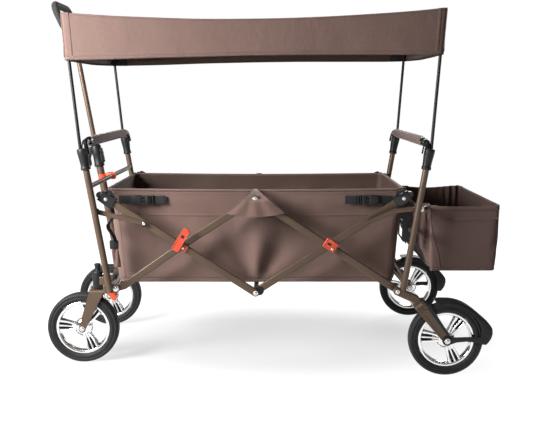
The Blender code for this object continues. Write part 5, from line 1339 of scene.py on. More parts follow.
class BasketForm:
    """The cloth tub, as rings of points from the rim downwards."""

    def __init__(self, cloth):
        low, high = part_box("basket")
        self.cloth = cloth
        self.low_x, self.high_x = low.x + 0.0006, high.x - 0.0006
        self.half = (high.y - low.y) / 2 - 0.0006
        self.rim = high.z
        self.depth = high.z - low.z - 0.0006
        self.taper = 0.020
        self.middle_x = TOP_MIDDLE.x

    def folds(self, x, z, side):
        """How far the long wall is drawn in or pushed out."""
        down = (self.rim - z) / self.depth
        reach = x - self.middle_x
        # Folds fan out from the bottom middle pivot
        fan = math.atan2(reach, max(0.02, z - self.rim + self.depth + 0.02))
        fade = math.exp(-(reach / 0.13) ** 2)
        push = 0.0120 * fade * cos(fan * 6.5 + 0.35 * side) * sin(pi * min(1,
            max(0, down - 0.22) * 1.30)) ** 0.8
        soft = 0.0085 * noise.noise(Vector((x * 7.5, z * 5.0, 2.0 * side + 4)))
        fine = 0.0016 * noise.noise(Vector((x * 24 + z * 9, z * 16 - x * 5, side + 9)))
        band = min(1.0, max(0.0, (down - 0.04) / 0.16))
        slack = -0.0110 * sin(pi * min(1.0, max(0.0, down))) * (1 - fade)
        return (push + soft + fine + slack) * band * (1 - 0.75 * max(0.0, (down - 0.86) / 0.14))

    def ring(self, down, lifted=0.0):
        """Points round the tub. Down is 0 at the rim and 1 at the floor."""
        inset = self.taper * between(((0.0, 0.0), (0.12, 0.0), (0.5, 0.45), (0.86, 0.8), (0.97, 0.95),
            (1.0, 1.35)), down)[0]
        outline = plan_outline(self.low_x + inset, self.high_x - inset, self.half - inset * 0.5, 0.022, 120,
            60, 8)
        droop = 0.0035
        z = self.rim - self.depth * down
        points = []
        for x, y in outline:
            share = (x - self.low_x) / (self.high_x - self.low_x)
            along = sin(pi * min(1, max(0, share)))
            spot = Vector((x, y, z - droop * along * (1 - down) * (abs(y) / self.half)))
            outward = self.outward(spot)
            if abs(outward.y) > 0.5:
                side = math.copysign(1, y)
                spot.y += side * self.folds(x, z, side)
            else:
                end = math.copysign(1, outward.x)
                spot.x += end * 0.0040 * noise.noise(Vector((y * 9, z * 8, end * 5))) * min(1,
                    down * 5) * (1 - down)
            points.append(spot + outward * lifted)
        return points

    def outward(self, point):
        if abs(point.y) > self.half - self.taper - 0.018:
            return Vector((0, math.copysign(1, point.y), 0))
        return Vector((math.copysign(1, point.x - self.middle_x), 0, 0))


def build_basket(cloth):
    """The tub with its piped rim, seams, bottom binding, middle flaps, corner stitches and mat."""
    form = BasketForm(cloth)
    shape = bmesh.new()
    rows = [form.ring(step / 36) for step in range(37)]
    skin(shape, rows, around=True)
    floor_z = rows[-1][0].z
    inner = rows[-1]
    centre = sum(inner, Vector()) / len(inner)
    floor_rows = [inner]
    for share in (0.94, 0.8, 0.6, 0.4, 0.2, 0.06):
        ring = []
        for point in inner:
            spot = Vector((centre.x + (point.x - centre.x) * (0.35 + 0.65 * share), point.y * share, floor_z))
            ring.append(spot)
        floor_rows.append(ring)
    skin(shape, floor_rows, around=True)
    tub = make("basket_cloth", shape, "cloth", "rear_end", ["basket"], lining="lining")
    thicken(tub, cloth.sheet)
    closes_up(tub)

    shape = bmesh.new()
    rim = form.ring(0.004)
    sweep(shape, [p + Vector((0, 0, -0.0012)) for p in rim], round_section(cloth.piping, 14), closed=True)
    binding = form.ring(0.985, lifted=0.0010)
    sweep(shape, binding, bar_section(0.0022, 0.0100, 0.0008), up=UP, closed=True)
    closes_up(make("basket_piping", shape, "cloth", "rear_end"))

    shape = bmesh.new()
    seam_down = cloth.basket_seam / form.depth
    for down in (0.052, seam_down - 0.012, seam_down + 0.012, 0.955):
        ring = form.ring(down, lifted=0.0003)
        stitched(shape, ring + ring[:1], form.outward, cloth)
    corner_marks = []
    for x_end in (form.low_x + 0.024, form.high_x - 0.024):
        for side in (-1, 1):
            corner_marks.append(nearest(rim, x_end, side * form.half))
    for index in corner_marks:
        upright = [form.ring(step / 24, lifted=0.0004)[index] for step in range(1, 25)]
        stitched(shape, upright, form.outward, cloth)
    closes_up(make("basket_stitches", shape, "thread", "rear_end"))

    shape = bmesh.new()
    sweep(shape, form.ring(seam_down, lifted=0.0004), bar_section(0.0016, 0.0070, 0.0006), up=UP, closed=True)
    closes_up(make("basket_seam_tape", shape, "cloth", "rear_end"))

    def flap_spot(side, across, down, lift, ripple=0.0015):
        """A point of a middle flap: across from -1 to 1, down from its apex at 0 to its lower edge at 1."""
        bulge = (0.0625 + ripple * cos(across * 9) * down) * min(1.0, down / 0.42) ** 0.55
        bulge -= 0.004 * across ** 2 * down
        return Vector((form.middle_x + (0.004 + 0.073 * down ** 0.94) * across,
            side * (form.half + lift + bulge), form.rim - 0.001 - (0.058 + 0.009 * (1 - across ** 2)) * down))

    breadth = [-1 + 2 * place / 32 for place in range(33)]
    shape = bmesh.new()
    for side in (-1, 1):
        skin(shape, [[flap_spot(side, across, step / 24, 0.0015) for across in breadth]
            for step in range(25)])
    flap = make("basket_middle_flaps", shape, "cloth", "rear_end", lining="lining")
    thicken(flap, cloth.sheet, offset=0.0)
    closes_up(flap)
    shape = bmesh.new()
    for side in (-1, 1):
        hem = [flap_spot(side, across, 1.0, 0.0022) + UP * 0.0006 for across in breadth]
        sweep(shape, hem, round_section(0.0013, 8))
        for across in (-1, 1):
            edge = [flap_spot(side, across, step / 20, 0.0015, ripple=0.0) for step in range(21)]
            edge[0] = Vector((form.middle_x, side * (form.half + 0.002), form.rim - 0.001))
            sweep(shape, edge, round_section(0.0011, 8))
    closes_up(make("basket_flap_hems", shape, "cloth", "rear_end"))

    low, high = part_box("floor_mat")
    shape = bmesh.new()
    rows = []
    for step in range(13):
        share = step / 12
        y = low.y + 0.002 + (high.y - low.y - 0.004) * share
        row = []
        for place in range(49):
            x = low.x + 0.002 + (high.x - low.x - 0.004) * place / 48
            row.append((x, y, high.z - 0.0006 - 0.0016 * (0.5 - 0.5 * cos(6 * pi * place / 48))
                * (0.5 - 0.5 * cos(2 * pi * share))))
        rows.append(row)
    skin(shape, rows)
    mat = make("floor_mat_padded", shape, "lining", "rear_end", ["floor_mat"])
    thicken(mat, high.z - low.z - 0.0014, lined=False)
    closes_up(mat)


# Webbing, buckles and the rear bag

def buckle(shape, centre, sign, side):
    """A side-release buckle seen from outside: body, two prongs and a ladder bar."""
    x, y, z = centre
    brick(shape, (x - sign * 0.012, y, z), (0.026, 0.0085, 0.0270), 0.0024)
    for lift in (-0.0088, 0.0088):
        brick(shape, (x + sign * 0.0045, y + side * 0.0004, z + lift), (0.0120, 0.0062, 0.0052), 0.0016)
    brick(shape, (x + sign * 0.0040, y, z), (0.0120, 0.0052, 0.0080), 0.0014)
    brick(shape, (x + sign * 0.0150, y, z), (0.0110, 0.0078, 0.0250), 0.0020)
    for place in (0.0245, 0.0310):
        brick(shape, (x + sign * place, y + side * 0.0006, z), (0.0030, 0.0062, 0.0250), 0.0012)
    for lift in (-0.0116, 0.0116):
        brick(shape, (x + sign * 0.0270, y, z + lift), (0.0120, 0.0056, 0.0026), 0.0008)


def build_straps(cloth):
    """The four corner straps with their buckles, and the webbing by the front and rear hubs."""
    wall = abs(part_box("basket")[0].y) + 0.0030
    for end, sign in (("front", -1), ("rear", 1)):
        for label, side in NEAR_AND_FAR:
            low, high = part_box(f"{end}_strap_{label}")
            z = (low.z + high.z) / 2
            outer = low.x if sign < 0 else high.x
            inner = high.x if sign < 0 else low.x
            path = []
            for step in range(33):
                share = step / 32
                x = outer + (inner - outer) * share
                bow = 0.0008 * sin(share * 9) + 0.0035 * math.exp(-((share - 0.42) / 0.16) ** 2)
                path.append((x, side * (wall + bow), z + 0.0012 * sin(share * 4)))
            shape = bmesh.new()
            sweep(shape, path, bar_section(cloth.webbing_thickness, cloth.webbing_width, 0.0006), up=UP)
            tail = [(inner + sign * 0.004, side * (wall + 0.0016), z),
                (inner + sign * 0.030, side * (wall + 0.0024), z)]
            sweep(shape, tail, bar_section(cloth.webbing_thickness, cloth.webbing_width, 0.0006), up=UP)
            strap = make(f"{end}_corner_strap_{label}", shape, "webbing", "rear_end",
                [f"{end}_strap_{label}"])
            closes_up(strap)
            shape = bmesh.new()
            buckle(shape, (outer - sign * 0.062, side * (wall + 0.0042), z - 0.001), -sign, side)
            clip = make(f"{end}_corner_buckle_{label}", shape, "plastic", "rear_end")
            closes_up(clip)
    build_hub_webbing(cloth)


def build_hub_webbing(cloth):
    """Webbing that ties the front hubs to the front foot, and the strap behind the rear posts."""
    tape = bar_section(cloth.webbing_thickness, 0.016, 0.0006)
    for label, side in NEAR_AND_FAR:
        y = side * (OUTER_ARM_Y - 0.022)
        x, z = FRONT_HUB.x, FRONT_HUB.z
        shape = bmesh.new()
        path = [(x + 0.012, y, z - 0.012), (x + 0.010, y, z - 0.030),
            (x + 0.014, y - side * 0.002, z - 0.052), (x - 0.004, y - side * 0.006, z - 0.074),
            (x - 0.002, y, z - 0.084), (x + 0.012, y + side * 0.002, z - 0.104), (x + 0.016, y, z - 0.118)]
        sweep(shape, rounded_path(path, 0.008, 4), tape, up=(0.35, 0.94, 0.0))
        brick(shape, (x + 0.012, y, z - 0.128), (0.024, 0.006, 0.024), 0.002)
        make(f"front_tie_webbing_{label}", shape, "webbing", "front_end")
        shape = bmesh.new()
        rows = []
        for step in range(13):
            share = step / 12
            rows.append([(x + 0.004 + 0.019 * place / 6 + 0.006 * share,
                y + side * 0.0018 * sin(place * 1.3 + 4 * share), z - 0.138 - 0.052 * share)
                for place in range(7)])
        skin(shape, rows)
        tab = make(f"front_tie_tab_{label}", shape, "cloth", "front_end", lining="lining")
        thicken(tab, cloth.sheet, offset=0.0)
        shape = bmesh.new()
        lathe(shape, barrel(0.0060, 0.0072, 0.006, 0.0045), (FRONT_FOOT.x - 0.004,
            side * (OUTER_ARM_Y - 0.016), FRONT_FOOT.z + 0.030), UP, 24, closed=False)
        make(f"front_foot_grommet_{label}", shape, "plastic", "front_end")
        shape = bmesh.new()
        x, z = REAR_HUB.x, REAR_HUB.z
        y = side * 0.2285
        slab(shape, [(x + 0.004, z - 0.036), (x + 0.026, z - 0.036), (x + 0.025, z - 0.104),
            (x + 0.012, z - 0.128), (x + 0.001, z - 0.108)], y, 0.003, 0.001)
        slab(shape, bar_outline([(x + 0.004, z - 0.038), (x - 0.006, z - 0.058), (x - 0.007, z - 0.100),
            (x + 0.006, z - 0.120)], 0.0022), y, 0.003, 0.001)
        brick(shape, (x + 0.013, y - side * 0.001, z - 0.072), (0.020, 0.0045, 0.010), 0.0015)
        make(f"rear_storage_strap_{label}", shape, "webbing", "rear_end")


class BagForm:
    """The rear bag, as rings of points from the rim downwards."""

    def __init__(self):
        low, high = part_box("rear_bag")
        self.front, self.rear = low.x, high.x - 0.0008
        self.half = (high.y - low.y) / 2 - 0.0008
        self.rim, self.depth = high.z - 0.003, high.z - low.z + 0.0030
        self.shoulder = self.front + 0.0330
        self.throat = self.half - 0.050

    def ring(self, down, lifted=0.0):
        narrow, slant = between(((0.0, 0.0, 0.0), (0.1, 0.0, 0.0), (0.35, 0.001, 0.005), (0.6, 0.002, 0.018),
            (0.8, 0.003, 0.031), (1.0, 0.006, 0.040)), down)
        front = self.front + slant
        shoulder = self.shoulder + narrow
        rear = self.rear - narrow
        half = self.half - narrow * 0.6
        throat = self.throat - narrow
        corners = [(rear, half), (shoulder, half), (shoulder + 0.006, throat), (front, throat - 0.004),
            (front, -throat + 0.004), (shoulder + 0.006, -throat), (shoulder, -half), (rear, -half)]
        path = []
        for index, corner in enumerate(corners):
            before, after = Vector(corners[index - 1]), Vector(corners[(index + 1) % 8])
            here = Vector(corner)
            bend = 0.013 if index in (0, 7) else 0.006
            start = here + (before - here).normalized() * min(bend, (before - here).length * 0.45)
            end = here + (after - here).normalized() * min(bend, (after - here).length * 0.45)
            for step in range(6):
                share = step / 5
                path.append(start.lerp(here, share).lerp(here.lerp(end, share), share))
        z = self.rim - self.depth * down
        points = []
        for p in resampled([(p.x, p.y, 0) for p in path], 260, closed=True):
            share = min(1, max(0, (p.x - self.front) / (self.rear - self.front)))
            far = max(0.0, p.y / self.half)
            sag = 0.0025 * sin(pi * share) + 0.0045 * far * sin(pi * share) ** 2
            # Gathers stand in the rear corners, and folds in the gusset by the rear posts
            corner = math.hypot(p.x - self.rear, abs(p.y) - self.half)
            gather = 0.0075 * math.exp(-(corner / 0.050) ** 2) * sin(corner * 300 + 2.5 * down) * far
            fold = 0.0
            if p.x < self.shoulder + 0.004:
                fold = 0.0050 * sin((p.x - self.front) * 250 + 2.2 * down) * between(
                    ((0.0, 0.0), (0.15, 0.8), (0.6, 1.0), (1.0, 0.0)), down)[0]
            bulge = 0.0036 * sin(pi * min(1.0, down))
            crease = 0.0016 * noise.noise(Vector((p.x * 11, p.y * 11, z * 9))) * min(1.0, down * 4)
            spot = Vector((p.x, p.y, z - sag * (1 - down)))
            points.append(spot + self.outward(p) * (lifted + crease + bulge + gather + fold - 0.0034
                * min(1.0, down * 3)))
        return points

    def outward(self, p):
        if abs(p.y) > self.half - 0.016 and p.x > self.shoulder - 0.004:
            return Vector((0, math.copysign(1, p.y), 0))
        if p.x > self.rear - 0.016:
            return Vector((1, 0, 0))
        if abs(p.y) > self.throat + 0.004 and p.x < self.shoulder + 0.004:
            return Vector((-1, 0, 0))
        if abs(p.y) > self.throat - 0.010 and p.x < self.shoulder:
            return Vector((-0.2, math.copysign(0.98, p.y), 0))
        return Vector((-1, 0, 0))


def build_bag(cloth):
    """The rear bag with its turned rim, side pockets and stitches, and the flat bar that carries it."""
    form = BagForm()

    def closes(item):
        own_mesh(item)
        return item

    shape = bmesh.new()
    skin(shape, [form.ring(step / 40) for step in range(41)], around=True)
    floor = form.ring(1.0)
    centre = sum(floor, Vector()) / len(floor)
    rows = [floor]
    for share in (0.92, 0.75, 0.5, 0.25, 0.05):
        rows.append([Vector((centre.x + (p.x - centre.x) * share, p.y * (0.25 + 0.75 * share),
            floor[0].z - 0.0008 * (1 - share))) for p in floor])
    skin(shape, rows, around=True)
    bag = make("rear_bag_cloth", shape, "cloth", "bag_support", ["rear_bag"], smooth=60, lining="lining")
    closes(thicken(bag, cloth.sheet))
    shape = bmesh.new()
    rim = form.ring(0.0)
    skin(shape, [form.ring(down, lift) for down, lift in ((-0.008, -0.0010), (-0.012, 0.0004),
        (-0.006, 0.0017), (0.010, 0.0020), (0.050, 0.0019), (0.056, 0.0012), (0.056, 0.0002))], around=True)
    sweep(shape, form.ring(0.975, lifted=0.0006), round_section(0.0014, 8), closed=True)
    for x_end, side in ((form.rear, -1), (form.rear, 1), (form.shoulder, -1), (form.shoulder, 1)):
        index = nearest(rim, x_end, side * form.half)
        sweep(shape, [form.ring(step / 20, lifted=0.0003)[index] for step in range(1, 20)],
            round_section(0.0012, 8))
    closes(make("rear_bag_hem", shape, "cloth", "bag_support", smooth=60))
    stitching, pockets = bmesh.new(), bmesh.new()
    for down in (0.046, 0.945):
        ring = form.ring(down, lifted=0.0019 if down < 0.5 else 0.0004)
        stitched(stitching, ring + ring[:1], form.outward, cloth)
    for side in (-1, 1):
        chosen = [i for i in range(len(rim)) if rim[i].y * side > form.half - 0.004
            and rim[i].x > form.shoulder + 0.014]
        chosen.sort(key=lambda i: rim[i].x)
        levels = [form.ring(down, lift) for down, lift in ((0.178, 0.0002), (0.178, 0.0020), (0.186, 0.0022),
            (0.5, 0.0018), (0.9, 0.0012), (0.985, 0.0004))]
        skin(pockets, [[level[i] for i in chosen] for level in levels])
        for down in (0.200, 0.222):
            stitched(stitching, [form.ring(down, 0.0024)[i] for i in chosen], form.outward, cloth)
    closes(make("rear_bag_pockets", pockets, "cloth", "bag_support", smooth=60))
    closes(make("rear_bag_stitches", stitching, "thread", "bag_support"))

    inner = form.half - 0.005
    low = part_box("bag_frame")[0]
    tip = Vector((low.x + 0.0075, 0, low.z + 0.006))
    rest = BAG_PIVOT.z
    shape = bmesh.new()
    for side in (-1, 1):
        path = [(tip.x, side * LINK_Y, tip.z), (tip.x + 0.060, side * LINK_Y, tip.z + (rest - tip.z) * 0.86),
            (tip.x + 0.095, side * LINK_Y, rest - 0.0005), (BAG_PIVOT.x + 0.012, side * LINK_Y, rest)]
        sweep(shape, rounded_path(path, 0.060, 8), bar_section(0.0042, 0.0125, 0.0016), up=UP)
        path = [(BAG_PIVOT.x + 0.004, side * LINK_Y, rest), (BAG_PIVOT.x + 0.016, side * LINK_Y, rest),
            (form.shoulder - 0.010, side * inner, rest), (form.shoulder + 0.02, side * inner, rest)]
        sweep(shape, rounded_path(path, 0.014, 6), bar_section(0.0042, 0.0110, 0.0016), up=UP)
    make("bag_frame_bars", shape, "bronze", "bag_support", ["bag_frame"])
    for label, side in NEAR_AND_FAR:
        bolt(f"bag_bar_bolt_{label}", "bag_support", (BAG_PIVOT.x + 0.013, side * (LINK_Y + 0.0021), rest),
            side, 0.0042, 0.003)


# The draw handle

def build_draw_handle():
    """Lower tube, clamp, cam lever, upper tube, padded grip and the parking clip."""
    along = Vector((-sin(DRAW_LEAN), 0, cos(DRAW_LEAN)))
    pivot = DRAW_PIVOT
    shape = bmesh.new()
    sweep(shape, [pivot + along * 0.004, pivot + along * 0.335], round_section(0.011, 32))
    lathe(shape, barrel(0.0092, 0.0100, 0.0106, 0.0098), pivot, ACROSS, 32, closed=False)
    make("draw_lower_tube_round", shape, "bronze", "draw_handle", ["draw_lower_tube"])
    shape = bmesh.new()
    for side in (-1, 1):
        bolt_head(shape, pivot + ACROSS * side * 0.0144, (0, side, 0), 0.0052, 0.003)
    make("draw_pivot_bolts", shape, "steel", "front_end")
    clamp_start = 0.305
    shape = bmesh.new()
    profile = [(0.0108, -0.002), (0.0138, -0.002), (0.0148, -0.0004), (0.0150, 0.006), (0.0140, 0.0075),
        (0.0136, 0.030), (0.0144, 0.0325), (0.0150, 0.036), (0.0148, 0.057), (0.0130, 0.0610),
        (0.0092, 0.0640), (0.0071, 0.0640)]
    lathe(shape, profile, pivot + along * clamp_start, along, 40, closed=False)
    turn = Matrix.Rotation(-DRAW_LEAN, 4, "Y")
    brick(shape, pivot + along * (clamp_start + 0.031) + Vector((0.0115, 0, 0)), (0.012, 0.0195, 0.044),
        0.0035, turn)
    for side in (-1, 1):
        brick(shape, pivot + along * (clamp_start + 0.050) + Vector((-0.0150, side * 0.0062, 0)),
            (0.012, 0.003, 0.014), 0.0012, turn)
    for ridge in range(4):
        brick(shape, pivot + along * (clamp_start + 0.016 + ridge * 0.008) + Vector((0.0178, 0, 0)),
            (0.002, 0.015, 0.003), 0.0008, turn)
    make("draw_clamp_body", shape, "plastic", "draw_handle", ["draw_clamp"])
    shape = bmesh.new()
    hinge = CLAMP_HINGE
    loop = [hinge + Vector((0.001, 0, 0.002)), hinge + Vector((-0.0060, 0, -0.010)),
        hinge + Vector((-0.0095, 0, -0.026)), hinge + Vector((-0.0070, 0, -0.044)),
        hinge + Vector((-0.0020, 0, -0.052)), hinge + Vector((0.0018, 0, -0.044)),
        hinge + Vector((-0.0012, 0, -0.028)), hinge + Vector((0.0030, 0, -0.012))]
    path = resampled(rounded_path(loop + loop[:1], 0.006, 5)[:-1], 48, closed=True)
    sweep(shape, path, bar_section(0.0105, 0.0032, 0.0012), closed=True)
    lathe(shape, barrel(0.0040, 0.0048, 0.0078, 0.0068), hinge, ACROSS, 24, closed=False)
    make("clamp_lever_loop", shape, "gloss", "clamp_cam", ["clamp_lever"])
    start = pivot + along * 0.250
    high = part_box("draw_upper_tube")[1]
    reach = (high.z - start.z) / along.z - 0.0012
    shape = bmesh.new()
    sweep(shape, [start, start + along * reach], round_section(0.007, 28))
    make("draw_upper_tube_round", shape, "bronze", "draw_slide", ["draw_upper_tube"])

    top = start + along * reach
    lean = DRAW_LEAN * 2.2
    lift = Vector((-sin(lean), 0, cos(lean)))
    half = (span("draw_grip").y / 2) - 0.0100
    rise = 0.104
    path = [top - ACROSS * 0.010 + lift * 0.010, top - ACROSS * half * 0.80 + lift * 0.045,
        top - ACROSS * half + lift * rise, top + ACROSS * half + lift * rise,
        top + ACROSS * half * 0.80 + lift * 0.045, top + ACROSS * 0.010 + lift * 0.010]
    path = resampled(rounded_path(path, 0.032, 10), 120)
    shape = bmesh.new()
    scales = []
    for index, point in enumerate(path):
        share = index / (len(path) - 1)
        pinch = 1.0 - 0.30 * math.exp(-(min(share, 1 - share) / 0.05) ** 2)
        scales.append(pinch * (1.0 + 0.02 * noise.noise(point * 40)))
    sweep(shape, path, round_section(0.0100, 32), scales=scales)
    make("draw_grip_foam", shape, "foam", "draw_slide", ["draw_grip"])
    shape = bmesh.new()
    profile = [(0.0074, -0.012), (0.0112, -0.012), (0.0124, -0.0105), (0.0126, 0.004), (0.0140, 0.012),
        (0.0136, 0.022), (0.0100, 0.027), (0.0, 0.028)]
    lathe(shape, profile, top, along.lerp(lift, 0.4), 36, closed=False)
    for side in (-1, 1):
        spot = path[8] if side < 0 else path[-9]
        ahead = (path[9] - path[7] if side < 0 else path[-8] - path[-10]).normalized()
        lathe(shape, [(0.0100, -0.003), (0.0124, -0.003), (0.0128, 0.0), (0.0124, 0.003), (0.0100, 0.003)],
            spot, ahead, 32)
    make("draw_grip_yoke", shape, "gloss", "draw_slide")

    clip_low, clip_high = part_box("draw_clip")
    z = (clip_low.z + clip_high.z) / 2
    centre_x = pivot.x - (z - pivot.z) * math.tan(DRAW_LEAN)
    inner, outer = 0.0116, 0.0172
    outline = arc((0, 0), outer, -99, 99, 28) + arc((0, 0), inner, 99, -99, 28)
    shape = bmesh.new()
    band = bmesh.new()
    slab(band, outline, 0.0, 0.0150, 0.0012, 2)
    # The clip lies level, so its plate is laid down from the upright
    add_in(shape, band, Matrix.Translation((centre_x, 0, z)) @ Matrix.Rotation(-pi / 2, 4, "X"))
    for side in (-1, 1):
        angle = radians(99 * side)
        lathe(shape, barrel(0.0026, 0.0034, 0.0075, 0.0066), (centre_x + 0.0144 * cos(angle),
            0.0144 * sin(angle), z), UP, 20, closed=False)
    seat = (clip_high.x + centre_x + inner + 0.003) / 2
    brick(shape, (seat, 0, z + 0.002), (clip_high.x - centre_x - inner - 0.003, 0.0235, 0.0195), 0.0016)
    make("draw_clip_moulded", shape, "red", "front_end", ["draw_clip"])


# The locks on the crossings

def turned(points, origin, angle):
    """Points of the upright plane, turned and set on an origin."""
    turn = Matrix.Rotation(angle, 2)
    return [tuple(turn @ Vector(point) + Vector((origin.x, origin.z))) for point in points]


def build_locks(metal):
    """The red arm locks: an open lever in front and a closed one behind, with raised edges and rivets."""
    face = OUTER_ARM_Y + metal.arm_thickness / 2 + 0.0036
    rear_centre = REAR_CROSSING + Vector((sin(ARM_SLOPE), 0, cos(ARM_SLOPE))) * 0.006

    def on_lever(*points):
        return turned(points, FRONT_CROSSING + Vector((-0.013, 0, -0.002)), radians(59))

    def on_block(*points):
        return turned(points, rear_centre, -ARM_SLOPE)

    def raised(shape, ends, y, height):
        sweep(shape, [(a, y, b) for a, b in ends], bar_section(0.0018, height, 0.0006), up=ACROSS)

    for label, side in NEAR_AND_FAR:
        y = side * (face + 0.0045)
        lever, closed = f"front_lock_lever_{label}", f"rear_lock_lever_{label}"
        shape = bmesh.new()
        slab(shape, on_lever((-0.0085, -0.0085), (-0.0040, -0.0100), (0.0520, -0.0100), (0.0585, -0.0078),
            (0.0600, 0.0), (0.0585, 0.0078), (0.0520, 0.0100), (-0.0040, 0.0100), (-0.0085, 0.0085)), y,
            0.0060, 0.0016, 3)
        for b in (-0.0086, 0.0086):
            raised(shape, on_lever((-0.006, b), (0.054, b)), y + side * 0.0030, 0.0024)
        make(lever, shape, "red", lever, [f"front_lock_{label}"])
        shape = bmesh.new()
        slab(shape, on_lever((0.031, -0.0042), (0.0395, -0.0042), (0.0395, 0.0042), (0.031, 0.0042)),
            y + side * 0.0024, 0.0016, 0.0003, 1)
        make(f"front_lock_window_{label}", shape, "plastic", lever)
        shape = bmesh.new()
        tab = turned(((-0.016, -0.0105), (0.013, -0.0105), (0.013, 0.0100), (-0.016, 0.0100)),
            FRONT_CROSSING + Vector((0.003, 0, -0.002)), -ARM_SLOPE)
        slab(shape, tab, side * (face - 0.0016), 0.0030, 0.0010, 2)
        make(f"front_lock_base_{label}", shape, "red", "front_upper_arms")
        bolt(f"front_lock_rivet_{label}", "front_upper_arms", (FRONT_CROSSING.x + 0.004, side * face,
            FRONT_CROSSING.z - 0.003), side, 0.0040, 0.003, washer=False)

        shape = bmesh.new()
        slab(shape, on_block((-0.0180, -0.0120), (-0.0165, -0.0135), (0.0165, -0.0135), (0.0180, -0.0120),
            (0.0180, 0.0120), (0.0165, 0.0135), (-0.0165, 0.0135), (-0.0180, 0.0120)), y, 0.0065, 0.0016, 3)
        for ends in (((-0.016, 0.0118), (0.016, 0.0118)), ((-0.016, -0.0118), (0.016, -0.0118)),
                ((-0.0162, -0.0105), (-0.0162, 0.0105))):
            raised(shape, on_block(*ends), y + side * 0.0032, 0.0022)
        make(f"rear_lock_block_{label}", shape, "red", closed, [f"rear_lock_{label}"])
        shape = bmesh.new()
        slab(shape, on_block((-0.0105, -0.0025), (0.0010, -0.0025), (0.0010, 0.0050), (-0.0105, 0.0050)),
            y + side * 0.0026, 0.0016, 0.0003, 1)
        make(f"rear_lock_window_{label}", shape, "plastic", closed)
        rivet = on_block((0.0085, -0.0060))[0]
        bolt(f"rear_lock_rivet_{label}", closed, (rivet[0], y + side * 0.0032, rivet[1]), side, 0.0038, 0.003,
            washer=False)


# The stage

def floor_material(stage):
    """A pale floor that glows for the camera and in reflections, most of all away from the wagon. Its lower
    glow round the wagon is painted shade.
    """
    material, tree, shader = blank_material("studio_floor")
    rays = add(tree, "ShaderNodeLightPath").outputs
    either = add(tree, "ShaderNodeMath", {0: rays["Is Camera Ray"], 1: rays["Is Glossy Ray"]},
        operation="MAXIMUM")
    place = add(tree, "ShaderNodeNewGeometry").outputs["Position"]
    oval = add(tree, "ShaderNodeVectorMath", {0: place, 1: (1.0, 2.0, 1.0)}, operation="MULTIPLY")
    distance = add(tree, "ShaderNodeVectorMath", {0: oval.outputs["Vector"]}, operation="LENGTH")
    # Painted shade: the glow is lowest round the wagon and rises to full white away from it, so the floor
    # near the wagon reads grey.
    spread = add(tree, "ShaderNodeMapRange", {"From Min": 0.38, "From Max": 0.95, "To Min": stage.floor_glow,
        "To Max": 1.0, "Value": distance.outputs["Value"]}, interpolation_type="SMOOTHSTEP")
    glow = times(tree, either.outputs["Value"], spread.outputs["Result"])
    fill(tree, shader, {"Base Color": (*stage.floor, 1.0), "Roughness": 0.9, "Specular IOR Level": 0.0,
        "Emission Color": (1, 1, 1, 1), "Emission Strength": glow})
    return material


def build_stage(stage):
    """Plain pale floor, soft lamps, an even white surround and the camera."""
    scene = bpy.context.scene
    shape = bmesh.new()
    bmesh.ops.create_grid(shape, x_segments=1, y_segments=1, size=14.0)
    mesh = bpy.data.meshes.new("floor")
    shape.to_mesh(mesh)
    shape.free()
    floor = bpy.data.objects.new("floor", mesh)
    scene.collection.objects.link(floor)
    mesh.materials.append(floor_material(stage))

    for name, place, target, size, power in (
            ("key", (-1.22, -0.90, 0.98), (-0.25, 0, 0.55), (0.6, 0.6), stage.key_power),
            ("top", (-0.2, -0.4, 2.6), (0.0, 0, 0.0), (1.8, 1.8), stage.top_power),
            ("back", (0.9, 2.1, 1.5), (0.0, 0, 0.4), (1.6, 1.2), stage.back_power),
            ("card", (0.2, -3.1, 0.30), (0.0, 0, 0.30), (3.0, 1.1), stage.card_power)):
        data = bpy.data.lights.new(name, "AREA")
        data.shape = "RECTANGLE"
        data.size, data.size_y = size
        data.energy = power
        lamp = bpy.data.objects.new(name, data)
        scene.collection.objects.link(lamp)
        lamp.location = place
        lamp.rotation_euler = (Vector(target) - Vector(place)).to_track_quat("-Z", "Y").to_euler()

    world = bpy.data.worlds.new("studio")
    world.use_nodes = True
    scene.world = world
    tree = world.node_tree
    rays = add(tree, "ShaderNodeLightPath").outputs
    glossy = add(tree, "ShaderNodeMapRange", {"To Min": stage.ambient, "To Max": stage.reflected,
        "Value": rays["Is Glossy Ray"]})
    seen = add(tree, "ShaderNodeMath", {0: rays["Is Camera Ray"], 1: glossy.outputs["Result"]},
        operation="MAXIMUM")
    fill(tree, tree.nodes["Background"], {"Strength": seen.outputs["Value"], "Color": (1, 1, 1, 1)})

    data = bpy.data.cameras.new("camera")
    data.lens = stage.lens
    data.sensor_width = 36.0
    camera = bpy.data.objects.new("camera", data)
    scene.collection.objects.link(camera)
    camera.location = (stage.camera_x, stage.camera_y, stage.camera_z)
    camera.rotation_euler = (pi / 2 - stage.camera_pitch, 0, 0)
    scene.camera = camera
    scene.view_settings.view_transform = "Standard"


# Operators, panel and registration

class WAGON_OT_end_frames(bpy.types.Operator):
    """Build the posts, members and lugs of both end frames"""
    bl_idname = "wagon.end_frames"
    bl_label = "End frames"

    def execute(self, context):
        build_end_frames(context.scene.wagon_metal)
        return {"FINISHED"}


class WAGON_OT_arms(bpy.types.Operator):
    """Build the folding arms with their bolts"""
    bl_idname = "wagon.arms"
    bl_label = "Folding arms"

    def execute(self, context):
        build_arms(context.scene.wagon_metal)
        return {"FINISHED"}


class WAGON_OT_hubs(bpy.types.Operator):
    """Build the corner hubs and the front links"""
    bl_idname = "wagon.hubs"
    bl_label = "Hubs and links"

    def execute(self, context):
        build_hubs()
        build_links(context.scene.wagon_metal)
        return {"FINISHED"}


